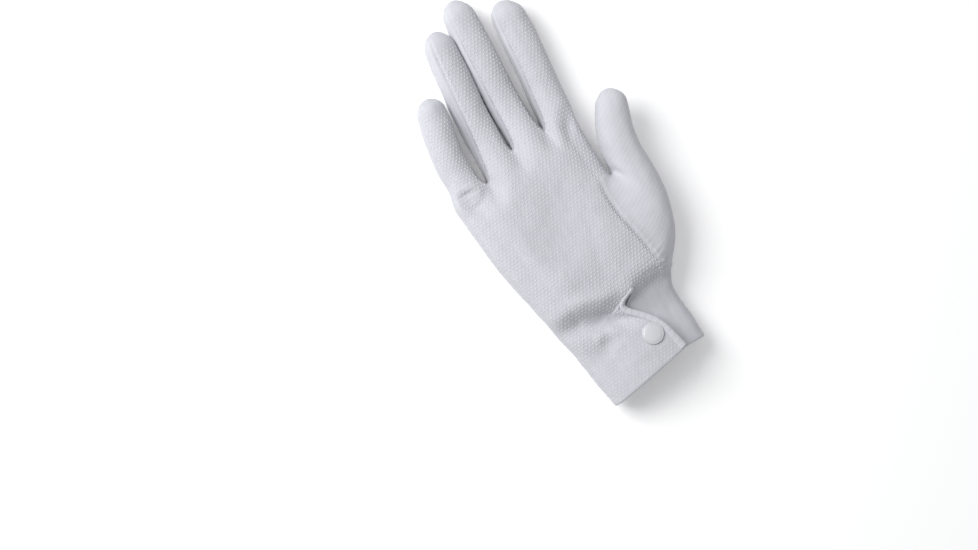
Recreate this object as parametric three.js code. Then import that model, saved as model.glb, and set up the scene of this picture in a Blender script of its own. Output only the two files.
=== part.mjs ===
// A right-hand white parade glove of knitted cotton, lying on its back with the palm up.
// Millimetres, +X towards the thumb, +Y towards the fingertips, +Z up, standing on z = 0.
// The cloth is one skin of four-sided patches: rings up the hand, which part into four fingers
// at the knuckles and open into the thumb at the side. Each sewn piece is a labelled set of those
// patches, given the cloth's thickness inwards and drawn back from its seams by half the seam gap.
import * as THREE from "three";

// Driving dimensions
const CLOTH = 1.2; // knitted cloth
const SEAM_GAP = 0.3; // between two pieces that are sewn or laid together
const SEAM_EASE = 0.3; // more room beside a seam where it bends sharply: at the crotches and the binding
const HAND_LENGTH = 145; // cuff edge to the knuckle line, on the thumb side
const HAND_THICKNESS = 28;
const CUFF_SLANT = 10; // how far the cuff edge drops towards the little finger
const CUP_LIFT = 4.5; // rise of the little finger's side off the surface
const KNUCKLE_ARCH = 12.5; // how far the knuckle line swings along the hand
const WEB_DIP = 4.6; // how far the palm and the back sink towards a crotch
const LITTLE_LENGTH = 61.5;
const RING_LENGTH = 86;
const MIDDLE_LENGTH = 91;
const INDEX_LENGTH = 79;
const LITTLE_WIDTH = 18.8;
const RING_WIDTH = 20.2;
const MIDDLE_WIDTH = 20.2;
const INDEX_WIDTH = 20.8;
const FINGER_THICKNESS = 18.4;
const FINGER_GAP = 0.9; // clear space between neighbouring fingers where they start
const CROTCH_DEPTH = 1.2; // how far a crotch's middle lies nearer the wrist than its ends
const THUMB_CROTCH = 107.5; // thumb crotch to the cuff edge
const THUMB_LENGTH = 44; // crotch to tip
const THUMB_WIDTH = 21.4;
const THUMB_THICKNESS = 19.6;
const THUMB_LIFT = 5; // rise of the thumb's tip towards the palm
const HEM_DEPTH = 22;
const VENT_LENGTH = 44.5;
const FLAP_OVERLAP = 18; // how far the upper flap covers the lower one at the cuff edge
const FLAP_EASE = 0.4; // slack between the fastened flaps
const BINDING_WIDTH = 3;
const BINDING_HEIGHT = 2.4;
const SNAP_DIAMETER = 13;
const SNAP_CAP_HEIGHT = 1.7;
const SNAP_BACK_DIAMETER = 10.5; // socket and stud
const SOCKET_HEIGHT = 1.1;
const SOCKET_BORE = 4.8;
const STUD_BASE = 0.5;
const SNAP_TO_CUFF = 15.2; // snap centre to the cuff edge
const SNAP_TO_FLAP = 8.9; // snap centre to the middle of the binding
const POINT_LENGTH = 76; // a raised seam on the back
const POINT_WIDTH = 2.6;
const POINT_HEIGHT = 1.3;
const POINT_SPREAD = 13; // between the wrist ends of two raised seams
const POINT_SETBACK = 4; // from a crotch to the start of its raised seam
const POINT_SHIFT = 5.2; // how far the raised seams turn towards the thumb at the wrist

// How finely the skin is divided
const ACROSS = 4; // patches across a finger, on its palm and on its back
const SIDE = 4; // patches down a side
const CUFF_RINGS = 9; // from the cuff edge to the top of the vent
const OPENING_RINGS = 9; // along the thumb's opening
const KNUCKLE_RINGS = 5; // from the thumb's crotch to the knuckles

// Outline and height of the hand. at runs from the cuff edge (0) to the knuckles (1). little and thumb
// are the two outlines from the hand's middle, as shares of the knuckle width. palm_seam and back_seam
// are where each sheet ends on the thumb side, on the same scale. thick is a share of HAND_THICKNESS.
const HAND_SECTIONS = [
  { at: 0.0, little: -0.228, thumb: 0.54, palm_seam: 0.43, back_seam: 0.42, thick: 1.0 },
  { at: 0.1, little: -0.263, thumb: 0.531, palm_seam: 0.42, back_seam: 0.41, thick: 0.98 },
  { at: 0.2, little: -0.29, thumb: 0.517, palm_seam: 0.41, back_seam: 0.41, thick: 0.94 },
  { at: 0.25, little: -0.303, thumb: 0.525, palm_seam: 0.43, back_seam: 0.44, thick: 0.97 },
  { at: 0.3, little: -0.326, thumb: 0.575, palm_seam: 0.505, back_seam: 0.53, thick: 1.0 },
  { at: 0.4, little: -0.366, thumb: 0.57, palm_seam: 0.49, back_seam: 0.54, thick: 1.07 },
  { at: 0.5, little: -0.41, thumb: 0.55, palm_seam: 0.455, back_seam: 0.53, thick: 1.1 },
  { at: 0.6, little: -0.449, thumb: 0.53, palm_seam: 0.425, back_seam: 0.51, thick: 1.06 },
  { at: 0.7, little: -0.482, thumb: 0.51, palm_seam: 0.415, back_seam: 0.46, thick: 1.0 },
  { at: 0.745, little: -0.493, thumb: 0.504, palm_seam: 0.425, back_seam: 0.425, thick: 0.98 },
  { at: 0.8, little: -0.505, thumb: 0.497, palm_seam: 0.4, back_seam: 0.4, thick: 0.95 },
  { at: 0.9, little: -0.522, thumb: 0.494, palm_seam: 0.4, back_seam: 0.4, thick: 0.87 },
  { at: 1.0, little: -0.53, thumb: 0.5, palm_seam: 0.467, back_seam: 0.467, thick: 0.76 },
];

// One section of any finger: at is a share of its length, width and thick of its own width and thickness.
const FINGER_SECTIONS = [
  { at: 0.0, width: 1.04, thick: 1.04 },
  { at: 0.11, width: 1.0, thick: 1.02 },
  { at: 0.25, width: 0.99, thick: 1.0 },
  { at: 0.4, width: 0.98, thick: 0.98 },
  { at: 0.55, width: 1.0, thick: 0.97 },
  { at: 0.7, width: 1.01, thick: 0.95 },
  { at: 0.82, width: 0.97, thick: 0.88 },
  { at: 0.905, width: 0.85, thick: 0.74 },
  { at: 0.962, width: 0.58, thick: 0.5 },
];

// The fingers from the little one on. flare is how much wider a finger's root is than the finger,
// lean its turn towards the thumb, bow its sideways bend as a share of its width, roll its turn about
// its own length, lift and curl the height of its root and of its tip above a finger that lies flat,
// as shares of FINGER_THICKNESS.
const FINGER_POSES = [
  { flare: 1.12, lean: 4.8, bow: -0.14, roll: 28, lift: 0.2, curl: 0.42 },
  { flare: 1.07, lean: 3.3, bow: -0.07, roll: 22, lift: 0.1, curl: 0.34 },
  { flare: 1.045, lean: 1.3, bow: -0.06, roll: 12, lift: 0.02, curl: 0.24 },
  { flare: 0.966, lean: 4.7, bow: 0.06, roll: 2, lift: 0.0, curl: 0.2 },
];
const FINGER_SIZES = [
  { length: LITTLE_LENGTH, width: LITTLE_WIDTH },
  { length: RING_LENGTH, width: RING_WIDTH },
  { length: MIDDLE_LENGTH, width: MIDDLE_WIDTH },
  { length: INDEX_LENGTH, width: INDEX_WIDTH },
];
const FINGERS = FINGER_POSES.map((pose, i) => ({ ...pose, ...FINGER_SIZES[i] }));

// The line where the fingers begin. at goes across the hand from the little finger's side (0) to the
// index finger's (1), and reach is how far up the hand it lies there, as a share of KNUCKLE_ARCH.
const KNUCKLE_LINE = [
  { at: 0.0, reach: -0.8 },
  { at: 0.25, reach: -0.56 },
  { at: 0.51, reach: 0.24 },
  { at: 0.76, reach: 0.28 },
  { at: 1.0, reach: 0.0 },
];

// Sections of the thumb, from its seam to its tip. up and out place the section's inner point from the
// crotch, as shares of THUMB_LENGTH and THUMB_WIDTH. turn is the section's angle. Its width is base
// times the opening's length plus wide times THUMB_WIDTH. thick is a share of THUMB_THICKNESS.
const THUMB_SECTIONS = [
  { up: 0.02, out: 0.08, turn: -74, base: 0.7, wide: 0.4, thick: 1.42, lift: 0.1 },
  { up: 0.1, out: 0.1, turn: -61, base: 0.42, wide: 0.74, thick: 1.36, lift: 0.25 },
  { up: 0.21, out: 0.11, turn: -47, base: 0.22, wide: 0.93, thick: 1.26, lift: 0.4 },
  { up: 0.37, out: 0.15, turn: -33, base: 0.08, wide: 0.98, thick: 1.14, lift: 0.6 },
  { up: 0.55, out: 0.24, turn: -21.5, base: 0.02, wide: 0.96, thick: 1.04, lift: 0.8 },
  { up: 0.73, out: 0.39, turn: -13, base: 0, wide: 0.96, thick: 0.96, lift: 0.92 },
  { up: 0.84, out: 0.54, turn: -8, base: 0, wide: 0.93, thick: 0.84, lift: 1 },
  { up: 0.92, out: 0.72, turn: -5, base: 0, wide: 0.74, thick: 0.66, lift: 1 },
  { up: 0.97, out: 0.92, turn: -4, base: 0, wide: 0.46, thick: 0.4, lift: 1 },
];

// Where the two edges of the vent run. at goes from the cuff edge (0) to the vent's top (1), and
// upper and lower are the edges' places from the slit's own line, as shares of FLAP_OVERLAP. drop is
// the step down to the lower flap, as a share of FLAP_DROP.
const VENT_EDGES = [
  { at: 0.0, upper: 0.53, lower: -0.47, drop: 1 },
  { at: 0.18, upper: 0.47, lower: -0.47, drop: 1 },
  { at: 0.41, upper: 0.38, lower: -0.47, drop: 1 },
  { at: 0.48, upper: 0.29, lower: -0.47, drop: 1 },
  { at: 0.53, upper: 0.2, lower: -0.47, drop: 0.99 },
  { at: 0.6, upper: 0.07, lower: -0.47, drop: 0.96 },
  { at: 0.67, upper: -0.09, lower: -0.48, drop: 0.9 },
  { at: 0.78, upper: -0.37, lower: -0.48, drop: 0.76 },
  { at: 0.89, upper: -0.55, lower: -0.27, drop: 0.4 },
  { at: 1.0, upper: 0.0, lower: 0.0, drop: 0 },
];

// Mounds and folds of the palm. from and to are places on it (across from the little finger's side
// and up from the cuff, both 0 to 1). width and height are shares of HAND_THICKNESS.
const PALM_FOLDS = [
  { from: [0.0, 0.42], to: [0.5, 0.325], width: 0.22, height: 0.06 }, // ridge above the long dent
  { from: [-0.1, 0.37], to: [0.46, 0.25], width: 0.2, height: -0.12 }, // long dent beside the vent's top
  { from: [0.06, 0.19], to: [0.22, 0.225], width: 0.16, height: -0.05 }, // short dent below it
  { from: [0.35, 0.12], to: [0.7, 0.13], width: 0.5, height: 0.04 }, // swell under the snap
  { from: [0.6, 0.335], to: [0.98, 0.36], width: 0.2, height: 0.06 }, // heel on the thumb's side
  { from: [0.66, 0.285], to: [1.0, 0.28], width: 0.16, height: -0.08 }, // drop to the wrist there
  { from: [0.1, 0.5], to: [0.12, 0.7], width: 0.6, height: 0.05 }, // mound of the little finger's side
  { from: [0.45, 0.62], to: [0.55, 0.72], width: 0.7, height: -0.07 }, // hollow of the palm
  { from: [0.04, 0.93], to: [0.24, 0.97], width: 0.14, height: -0.05 }, // crease under the little finger
];

const { clamp, degToRad, lerp, smoothstep } = THREE.MathUtils;
const vec = (x, y, z) => new THREE.Vector3(x, y, z);

// A column of a table at a place between its rows, along a smooth curve through them.
function sample(table, column, at) {
  const last = table.length - 1;
  const place = clamp(at, table[0].at, table[last].at);
  let i = 0;
  while (i < last - 1 && place > table[i + 1].at) i++;
  const slope = (j) => {
    const before = table[Math.max(j - 1, 0)];
    const after = table[Math.min(j + 1, last)];
    return (after[column] - before[column]) / (after.at - before.at);
  };
  const span = table[i + 1].at - table[i].at;
  const t = (place - table[i].at) / span;
  const t2 = t * t;
  const t3 = t2 * t;
  return (
    (2 * t3 - 3 * t2 + 1) * table[i][column] +
    (t3 - 2 * t2 + t) * span * slope(i) +
    (3 * t2 - 2 * t3) * table[i + 1][column] +
    (t3 - t2) * span * slope(i + 1)
  );
}

// Places across the hand where one finger's root ends and the next begins, from 0 to 1.
const roots = FINGERS.map((finger) => finger.width * finger.flare + FINGER_GAP);
const KNUCKLE_WIDTH = roots.reduce((sum, root) => sum + root, -FINGER_GAP);
const ROOT_EDGES = roots.reduce(
  (edges, root) => [...edges, edges.at(-1) + root / roots.reduce((sum, r) => sum + r, 0)],
  [0],
);

const COLUMNS = ACROSS * FINGERS.length;
const SLIT_COLUMN = 2.5 * ACROSS; // in the middle finger's line
const SLIT = SLIT_COLUMN / COLUMNS;
const VENT_TOP = VENT_LENGTH / HAND_LENGTH;
const CROTCH = THUMB_CROTCH / HAND_LENGTH;
const HEM = HEM_DEPTH / HAND_LENGTH;
const POINT_BED = POINT_HEIGHT + SEAM_GAP; // height of the back over the surface, on its raised seams
// From the upper flap's face down to the lower one's: cloth, hem, socket, the stud's base and the gaps.
const FLAP_DROP = 2 * CLOTH + SOCKET_HEIGHT + STUD_BASE + 4 * SEAM_GAP + FLAP_EASE;

// The rings of the hand, as shares of its length: even steps, with one ring moved to the hem's edge.
const steps = (from, to, count) => Array.from({ length: count }, (_, i) => lerp(from, to, i / count));
const RINGS = [
  ...steps(0, VENT_TOP, CUFF_RINGS),
  ...steps(VENT_TOP, CROTCH, OPENING_RINGS),
  ...steps(CROTCH, 1, KNUCKLE_RINGS),
  1,
];
const HEM_RING = Math.round(HEM / (VENT_TOP / CUFF_RINGS));
RINGS[HEM_RING] = HEM;
const LAST_RING = RINGS.length - 1;
const OPENING_START = CUFF_RINGS;
const OPENING_END = CUFF_RINGS + OPENING_RINGS;

// A column's place across a sheet: even steps at the wrist, and in line with the fingers' roots at
// the knuckles. left and right are the sheet's edges.
function columnX(u, v, left, right) {
  const column = u * FINGERS.length;
  const finger = Math.min(Math.floor(column), FINGERS.length - 1);
  const edge = (k) => KNUCKLE_WIDTH * (ROOT_EDGES[k] - 0.5);
  const from = finger === 0 ? left : edge(finger);
  const to = finger === FINGERS.length - 1 ? right : edge(finger + 1);
  return lerp(lerp(left, right, u), lerp(from, to, column - finger), smoothstep(v, 0.3, 1));
}

// 1 in the middle of a finger's root and 0 at a crotch.
const fullness = (u) => Math.abs(Math.sin(Math.PI * u * FINGERS.length));

// The cup of the hand: its little-finger side is lifted, the more the nearer to the fingers.
const cup = (u, v) => CUP_LIFT * (1 - u) ** 2 * smoothstep(v, 0.25, 1);

// The part of a sheet's height that its folds add at a place.
function folds(u, v) {
  let height = 0;
  for (const fold of PALM_FOLDS) {
    const at = new THREE.Vector2(u * KNUCKLE_WIDTH, v * HAND_LENGTH);
    const [from, to] = [fold.from, fold.to].map(
      ([x, y]) => new THREE.Vector2(x * KNUCKLE_WIDTH, y * HAND_LENGTH),
    );
    const line = to.clone().sub(from);
    const along = clamp(at.clone().sub(from).dot(line) / line.lengthSq(), 0, 1);
    const away = at.distanceTo(from.addScaledVector(line, along));
    height += fold.height * Math.exp(-((away / (fold.width * HAND_THICKNESS)) ** 2));
  }
  return height * HAND_THICKNESS;
}

const section = (column, v) => sample(HAND_SECTIONS, column, v) * KNUCKLE_WIDTH;
const thickness = (v) => sample(HAND_SECTIONS, "thick", v) * HAND_THICKNESS;
// How far a sheet stops short of the outline, and how much lower it is there than in the middle.
const cornerInset = (v) => lerp(0.4, 0.12, smoothstep(v, 0.82, 1)) * thickness(v);
const crown = (u, v) => 1 - lerp(0.14, 0.24, smoothstep(v, 0.82, 1)) * Math.abs(2 * u - 1) ** 3;
const bed = (v) => POINT_BED * smoothstep(v, 0.3, 0.42);

const sheetLeft = (v) => section("little", v) + cornerInset(v);
const backX = (u, v) => columnX(u, v, sheetLeft(v), section("back_seam", v));

// Across the palm. flap is "upper" or "lower", the sheet beside the vent that a place belongs to.
function palmX(u, v, flap) {
  const [left, right] = [sheetLeft(v), section("palm_seam", v)];
  if (v >= VENT_TOP) return columnX(u, v, left, right);
  const edge = lerp(left, right, SLIT) + sample(VENT_EDGES, flap, v / VENT_TOP) * FLAP_OVERLAP;
  return flap === "upper" ? lerp(left, edge, u / SLIT) : lerp(edge, right, (u - SLIT) / (1 - SLIT));
}

// The cuff edge is one straight line from the upper flap's corner to the little finger's side, in the
// rings up to the hem, and level from there to the thumb's side.
const FLAP_CORNER = palmX(SLIT, 0, "upper");
const cuffLine = (x) => -CUFF_SLANT * Math.max(0, (FLAP_CORNER - x) / (FLAP_CORNER - section("little", 0)));
const cuffShare = (v) => 1 - smoothstep(v, 0.5 * VENT_TOP, VENT_TOP);

// How far up the hand a place is, along Y. start is where its column starts across the cuff.
function upHand(u, v, start) {
  const even = -CUFF_SLANT * (1 - Math.min(1, u / 0.85));
  const cuff = lerp(even, cuffLine(start), cuffShare(v));
  const knuckles = HAND_LENGTH + KNUCKLE_ARCH * sample(KNUCKLE_LINE, "reach", u);
  return lerp(cuff, knuckles, v);
}

// How far the palm and the back sink towards each other beside a crotch.
const web = (u, v) => WEB_DIP * (1 - fullness(u)) * (u > 0.01 && u < 0.99) * smoothstep(v, 0.88, 1);

// A place on the palm, a step lower on the lower flap.
function palmPoint(u, v, flap) {
  let z = bed(v) + thickness(v) * crown(u, v) + cup(u, v) - web(u, v) + folds(u, v);
  if (v < VENT_TOP && flap === "lower") {
    const share = (u - SLIT) / (1 - SLIT);
    z -= FLAP_DROP * sample(VENT_EDGES, "drop", v / VENT_TOP) * (1 - 0.45 * share ** 2);
  }
  return vec(palmX(u, v, flap), upHand(u, v, palmX(u, 0, flap)), z);
}

// A place on the back, which lies on the surface.
function backPoint(u, v) {
  const edge = 0.5 * (1 - crown(u, v)) * thickness(v) * smoothstep(Math.abs(2 * u - 1), 0.4, 1);
  const z = bed(v) + cup(u, v) + web(u, v) + edge;
  return vec(backX(u, v), upHand(u, v, backX(u, 0)), z);
}

// The round side of the hand between its two sheets, at a ring: top and foot are the sheets' edges,
// and side names the outline.
function sidePoint(top, foot, side, v, j) {
  const angle = (Math.PI * j) / SIDE;
  const point = top.clone().lerp(foot, (1 - Math.cos(angle)) / 2);
  const inner = point.x;
  point.x = lerp(inner, section(side, v), Math.sin(angle) ** 0.9);
  point.y += (cuffLine(point.x) - cuffLine(inner)) * cuffShare(v) * (1 - v);
  return point;
}

// The skin: points by name, and patches of four points with a label.
const points = new Map();
const patches = [];
const patch = (a, b, c, d, label, ring) => patches.push({ corners: [a, b, c, d], label, ring });
const middleOf = (names) =>
  names.reduce((sum, name) => sum.add(points.get(name)), vec(0, 0, 0)).divideScalar(names.length);

function handPoints() {
  RINGS.forEach((v, r) => {
    for (let c = 0; c <= COLUMNS; c++) {
      const u = c / COLUMNS;
      if (r < OPENING_START && c === SLIT_COLUMN) points.set(`P${c},${r}low`, palmPoint(u, v, "lower"));
      points.set(`P${c},${r}`, palmPoint(u, v, c <= SLIT_COLUMN ? "upper" : "lower"));
      points.set(`B${c},${r}`, backPoint(u, v));
    }
    for (let j = 1; j < SIDE; j++) {
      const [top, foot] = [points.get(`P0,${r}`), points.get(`B0,${r}`)];
      points.set(`L${j},${r}`, sidePoint(top, foot, "little", v, j));
      if (r > OPENING_START && r < OPENING_END) continue;
      const [thumbTop, thumbFoot] = [points.get(`P${COLUMNS},${r}`), points.get(`B${COLUMNS},${r}`)];
      points.set(`R${j},${r}`, sidePoint(thumbTop, thumbFoot, "thumb", v, j));
    }
  });
}

// The names round a ring of the hand, from the little finger's side over the palm and back under.
function handRing(r) {
  const names = [];
  const low = r < OPENING_START ? "low" : "";
  for (let c = 0; c <= COLUMNS; c++) {
    names.push(`P${c},${r}`);
    if (c === SLIT_COLUMN && low) names.push(`P${c},${r}low`);
  }
  if (!low) names.splice(SLIT_COLUMN + 1, 0, names[SLIT_COLUMN]);
  for (let j = 1; j < SIDE; j++) names.push(`R${j},${r}`);
  for (let c = COLUMNS; c >= 0; c--) names.push(`B${c},${r}`);
  for (let j = SIDE - 1; j > 0; j--) names.push(`L${j},${r}`);
  return names;
}

function handPatches() {
  const labels = [
    ...Array(SLIT_COLUMN).fill("palm"),
    null, // the slit
    ...Array(COLUMNS - SLIT_COLUMN).fill("palm"),
    ...Array(SIDE / 2).fill("palm"),
    ...Array(SIDE / 2).fill("back"),
    ...Array(COLUMNS).fill("back"),
    ...Array(SIDE / 2).fill("back"),
    ...Array(SIDE / 2).fill("palm"),
  ];
  for (let r = 0; r < LAST_RING; r++) {
    const [near, far] = [handRing(r), handRing(r + 1)];
    labels.forEach((label, j) => {
      const open = r >= OPENING_START && r < OPENING_END && j > COLUMNS && j <= COLUMNS + SIDE;
      if (!label || open) return;
      const next = (j + 1) % labels.length;
      patch(near[j], near[next], far[next], far[j], label, r);
    });
  }
}

// A ring of a finger or the thumb about a centre: over its palm face from one side to the other,
// down, back under and up. side and up are its axes, and span the angle that its palm face takes.
function tubeRing(name, centre, side, up, width, thick, count, span) {
  const names = [];
  const angles = [];
  for (let j = 0; j < count; j++) angles.push(lerp(-span, span, j / count));
  for (let j = 0; j < SIDE; j++) angles.push(lerp(span, Math.PI - span, j / SIDE));
  for (let j = 0; j < count; j++) angles.push(lerp(Math.PI - span, Math.PI + span, j / count));
  for (let j = 0; j < SIDE; j++) angles.push(lerp(Math.PI + span, 2 * Math.PI - span, j / SIDE));
  angles.forEach((angle, j) => {
    const [s, c] = [Math.sin(angle), Math.cos(angle)];
    const point = centre
      .clone()
      .addScaledVector(side, (width / 2) * Math.sign(s) * Math.abs(s) ** 0.9)
      .addScaledVector(up, (thick / 2) * Math.sign(c) * Math.abs(c) ** 0.9);
    point.z = Math.max(point.z, 0);
    points.set(`${name},${j}`, point);
    names.push(`${name},${j}`);
  });
  return names;
}

function joinRings(near, far, labels) {
  near.forEach((_, j) => {
    const next = (j + 1) % near.length;
    patch(near[j], near[next], far[next], far[j], labels[j]);
  });
}

// Closes a tube's last ring with a dome of count by SIDE patches that reaches the tip.
function tipDome(name, ring, count, tip, labelOfRow) {
  const reach = tip.clone().sub(middleOf(ring));
  const edge = (row, column) => {
    if (row === 0) return ring[column];
    if (column === count) return ring[count + row];
    if (row === SIDE) return ring[2 * count + SIDE - column];
    return column === 0 ? ring[ring.length - row] : null;
  };
  const nameAt = (row, column) => edge(row, column) ?? `${name},dome${row},${column}`;
  for (let row = 1; row < SIDE; row++) {
    for (let column = 1; column < count; column++) {
      const [s, t] = [(2 * column) / count - 1, (2 * row) / SIDE - 1];
      const [left, right] = [points.get(edge(row, 0)), points.get(edge(row, count))];
      const [top, foot] = [points.get(edge(0, column)), points.get(edge(SIDE, column))];
      const point = left.clone().lerp(right, column / count);
      point.add(top.clone().lerp(foot, row / SIDE)).divideScalar(2);
      point.addScaledVector(reach, Math.sqrt(1 - 0.42 * (s * s + t * t)));
      point.z = Math.max(point.z, 0);
      points.set(`${name},dome${row},${column}`, point);
    }
  }
  for (let row = 0; row < SIDE; row++) {
    for (let column = 0; column < count; column++) {
      const near = [nameAt(row, column), nameAt(row, column + 1)];
      const far = [nameAt(row + 1, column + 1), nameAt(row + 1, column)];
      patch(...near, ...far, labelOfRow(row));
    }
  }
}

const FINGER_SEAM_ANGLE = degToRad(56); // from the middle of a finger's palm to its side seams
const THUMB_FACE_ANGLE = degToRad(58); // the same to the edge of the thumb's palm face

function crotchPoints() {
  for (let k = 1; k < FINGERS.length; k++) {
    const top = points.get(`P${k * ACROSS},${LAST_RING}`);
    const foot = points.get(`B${k * ACROSS},${LAST_RING}`);
    for (let j = 1; j < SIDE; j++) {
      const point = top.clone().lerp(foot, j / SIDE);
      point.y -= CROTCH_DEPTH * Math.sin((Math.PI * j) / SIDE);
      points.set(`C${k},${j}`, point);
    }
  }
}

function finger(spec, i) {
  const first = i * ACROSS;
  const base = [];
  for (let c = first; c <= first + ACROSS; c++) base.push(`P${c},${LAST_RING}`);
  const [isFirst, isLast] = [i === 0, i + 1 === FINGERS.length];
  for (let j = 1; j < SIDE; j++) base.push(isLast ? `R${j},${LAST_RING}` : `C${i + 1},${j}`);
  for (let c = first + ACROSS; c >= first; c--) base.push(`B${c},${LAST_RING}`);
  for (let j = SIDE - 1; j > 0; j--) base.push(isFirst ? `L${j},${LAST_RING}` : `C${i},${j}`);
  const root = middleOf(base);
  const from = isFirst ? section("little", 1) : KNUCKLE_WIDTH * (ROOT_EDGES[i] - 0.5);
  const to = isLast ? section("thumb", 1) : KNUCKLE_WIDTH * (ROOT_EDGES[i + 1] - 0.5);
  root.x = (from + to) / 2;
  const lean = degToRad(spec.lean);
  const forward = vec(Math.sin(lean), Math.cos(lean), 0);
  const flatSide = vec(Math.cos(lean), -Math.sin(lean), 0);
  const centreAt = (at) => {
    const lift = lerp(spec.lift, spec.curl, at ** 1.6) * FINGER_THICKNESS;
    const thick = sample(FINGER_SECTIONS, "thick", at) * FINGER_THICKNESS;
    const bow = spec.bow * spec.width * Math.sin(Math.PI * at ** 0.8);
    const centre = root.clone().addScaledVector(forward, at * spec.length);
    centre.addScaledVector(flatSide, bow);
    centre.z = lerp(root.z, 0.48 * thick + lift, smoothstep(at, 0, 0.3));
    return centre;
  };
  const side = (k, half) => (k === 0 || k === FINGERS.length ? half : `fourchette${k}`);
  const labels = [
    ...Array(ACROSS).fill("palm"),
    ...Array(SIDE / 2).fill(side(i + 1, "palm")),
    ...Array(SIDE / 2).fill(side(i + 1, "back")),
    ...Array(ACROSS).fill("back"),
    ...Array(SIDE / 2).fill(side(i, "back")),
    ...Array(SIDE / 2).fill(side(i, "palm")),
  ];
  let previous = base;
  for (const row of FINGER_SECTIONS.slice(1)) {
    const centre = centreAt(row.at);
    const along = centreAt(Math.min(row.at + 0.02, 1)).sub(centreAt(row.at - 0.02)).normalize();
    const roll = degToRad(spec.roll) * smoothstep(row.at, 0, 0.35);
    const across = flatSide.clone().applyAxisAngle(along, roll);
    const up = across.clone().cross(along).normalize();
    const [width, thick] = [row.width * spec.width, row.thick * FINGER_THICKNESS];
    const ring = tubeRing(`F${i}s${row.at}`, centre, across, up, width, thick, ACROSS, FINGER_SEAM_ANGLE);
    joinRings(previous, ring, labels);
    previous = ring;
  }
  tipDome(`F${i}`, previous, ACROSS, centreAt(1), (row) => (row < SIDE / 2 ? "palm" : "back"));
}

function thumb() {
  const base = [];
  for (let r = OPENING_END; r >= OPENING_START; r--) base.push(`P${COLUMNS},${r}`);
  for (let j = 1; j < SIDE; j++) base.push(`R${j},${OPENING_START}`);
  for (let r = OPENING_START; r <= OPENING_END; r++) base.push(`B${COLUMNS},${r}`);
  for (let j = SIDE - 1; j > 0; j--) base.push(`R${j},${OPENING_END}`);
  const crotch = points.get(`R${SIDE / 2},${OPENING_END}`);
  const opening = crotch.distanceTo(points.get(`R${SIDE / 2},${OPENING_START}`));
  const labels = base.map(() => "thumb");
  let previous = base;
  let last = null;
  THUMB_SECTIONS.forEach((row, k) => {
    const turn = degToRad(row.turn);
    const across = vec(Math.cos(turn), Math.sin(turn), 0);
    const width = row.base * opening + row.wide * THUMB_WIDTH;
    const inner = vec(crotch.x + row.out * THUMB_WIDTH, crotch.y + row.up * THUMB_LENGTH, 0);
    const centre = inner.addScaledVector(across, width / 2);
    centre.z = crotch.z + row.lift * THUMB_LIFT;
    const thick = row.thick * THUMB_THICKNESS;
    const up = vec(0, 0, 1);
    const ring = tubeRing(`T${k}`, centre, across, up, width, thick, OPENING_RINGS, THUMB_FACE_ANGLE);
    joinRings(previous, ring, labels);
    previous = ring;
    last = centre;
  });
  const tip = last.clone();
  tip.y = crotch.y + THUMB_LENGTH;
  tipDome("T", previous, OPENING_RINGS, tip, () => "thumb");
}

handPoints();
handPatches();
crotchPoints();
FINGERS.forEach(finger);
thumb();

// Outward direction at each point, from the patches that meet there.
const normals = new Map();
for (const { corners } of patches) {
  const [a, b, c, d] = corners.map((name) => points.get(name));
  const facing = c.clone().sub(a).cross(d.clone().sub(b));
  for (const name of corners) normals.set(name, (normals.get(name) ?? vec(0, 0, 0)).add(facing));
}
for (const normal of normals.values()) normal.normalize();

// How far a piece is drawn back from an edge: room for half the binding along the upper flap's edge,
// more than half the seam gap at a crotch, and half of it anywhere else.
const onUpperEdge = (name) => name.startsWith(`P${SLIT_COLUMN},`) && !name.endsWith("low");
const atCrotch = (name) => /^[PB]\d+,\d+$/.test(name) && name.endsWith(`,${LAST_RING}`);
function drawBack(from, to) {
  if (onUpperEdge(from) && onUpperEdge(to)) return BINDING_WIDTH / 2 + SEAM_GAP + SEAM_EASE;
  return SEAM_GAP / 2 + (atCrotch(from) || atCrotch(to) ? SEAM_EASE : 0);
}

// The move that takes a corner off its edges: pulls are their inward directions and amounts.
function cornerMove(pulls) {
  const [first, second] = pulls;
  const cosine = clamp(first.way.dot(second.way), -0.95, 1);
  if (cosine > 0.95) {
    return first.way.clone().add(second.way).setLength((first.amount + second.amount) / 2);
  }
  const spread = 1 - cosine * cosine;
  return first.way
    .clone()
    .multiplyScalar((first.amount - cosine * second.amount) / spread)
    .addScaledVector(second.way, (second.amount - cosine * first.amount) / spread);
}

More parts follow.
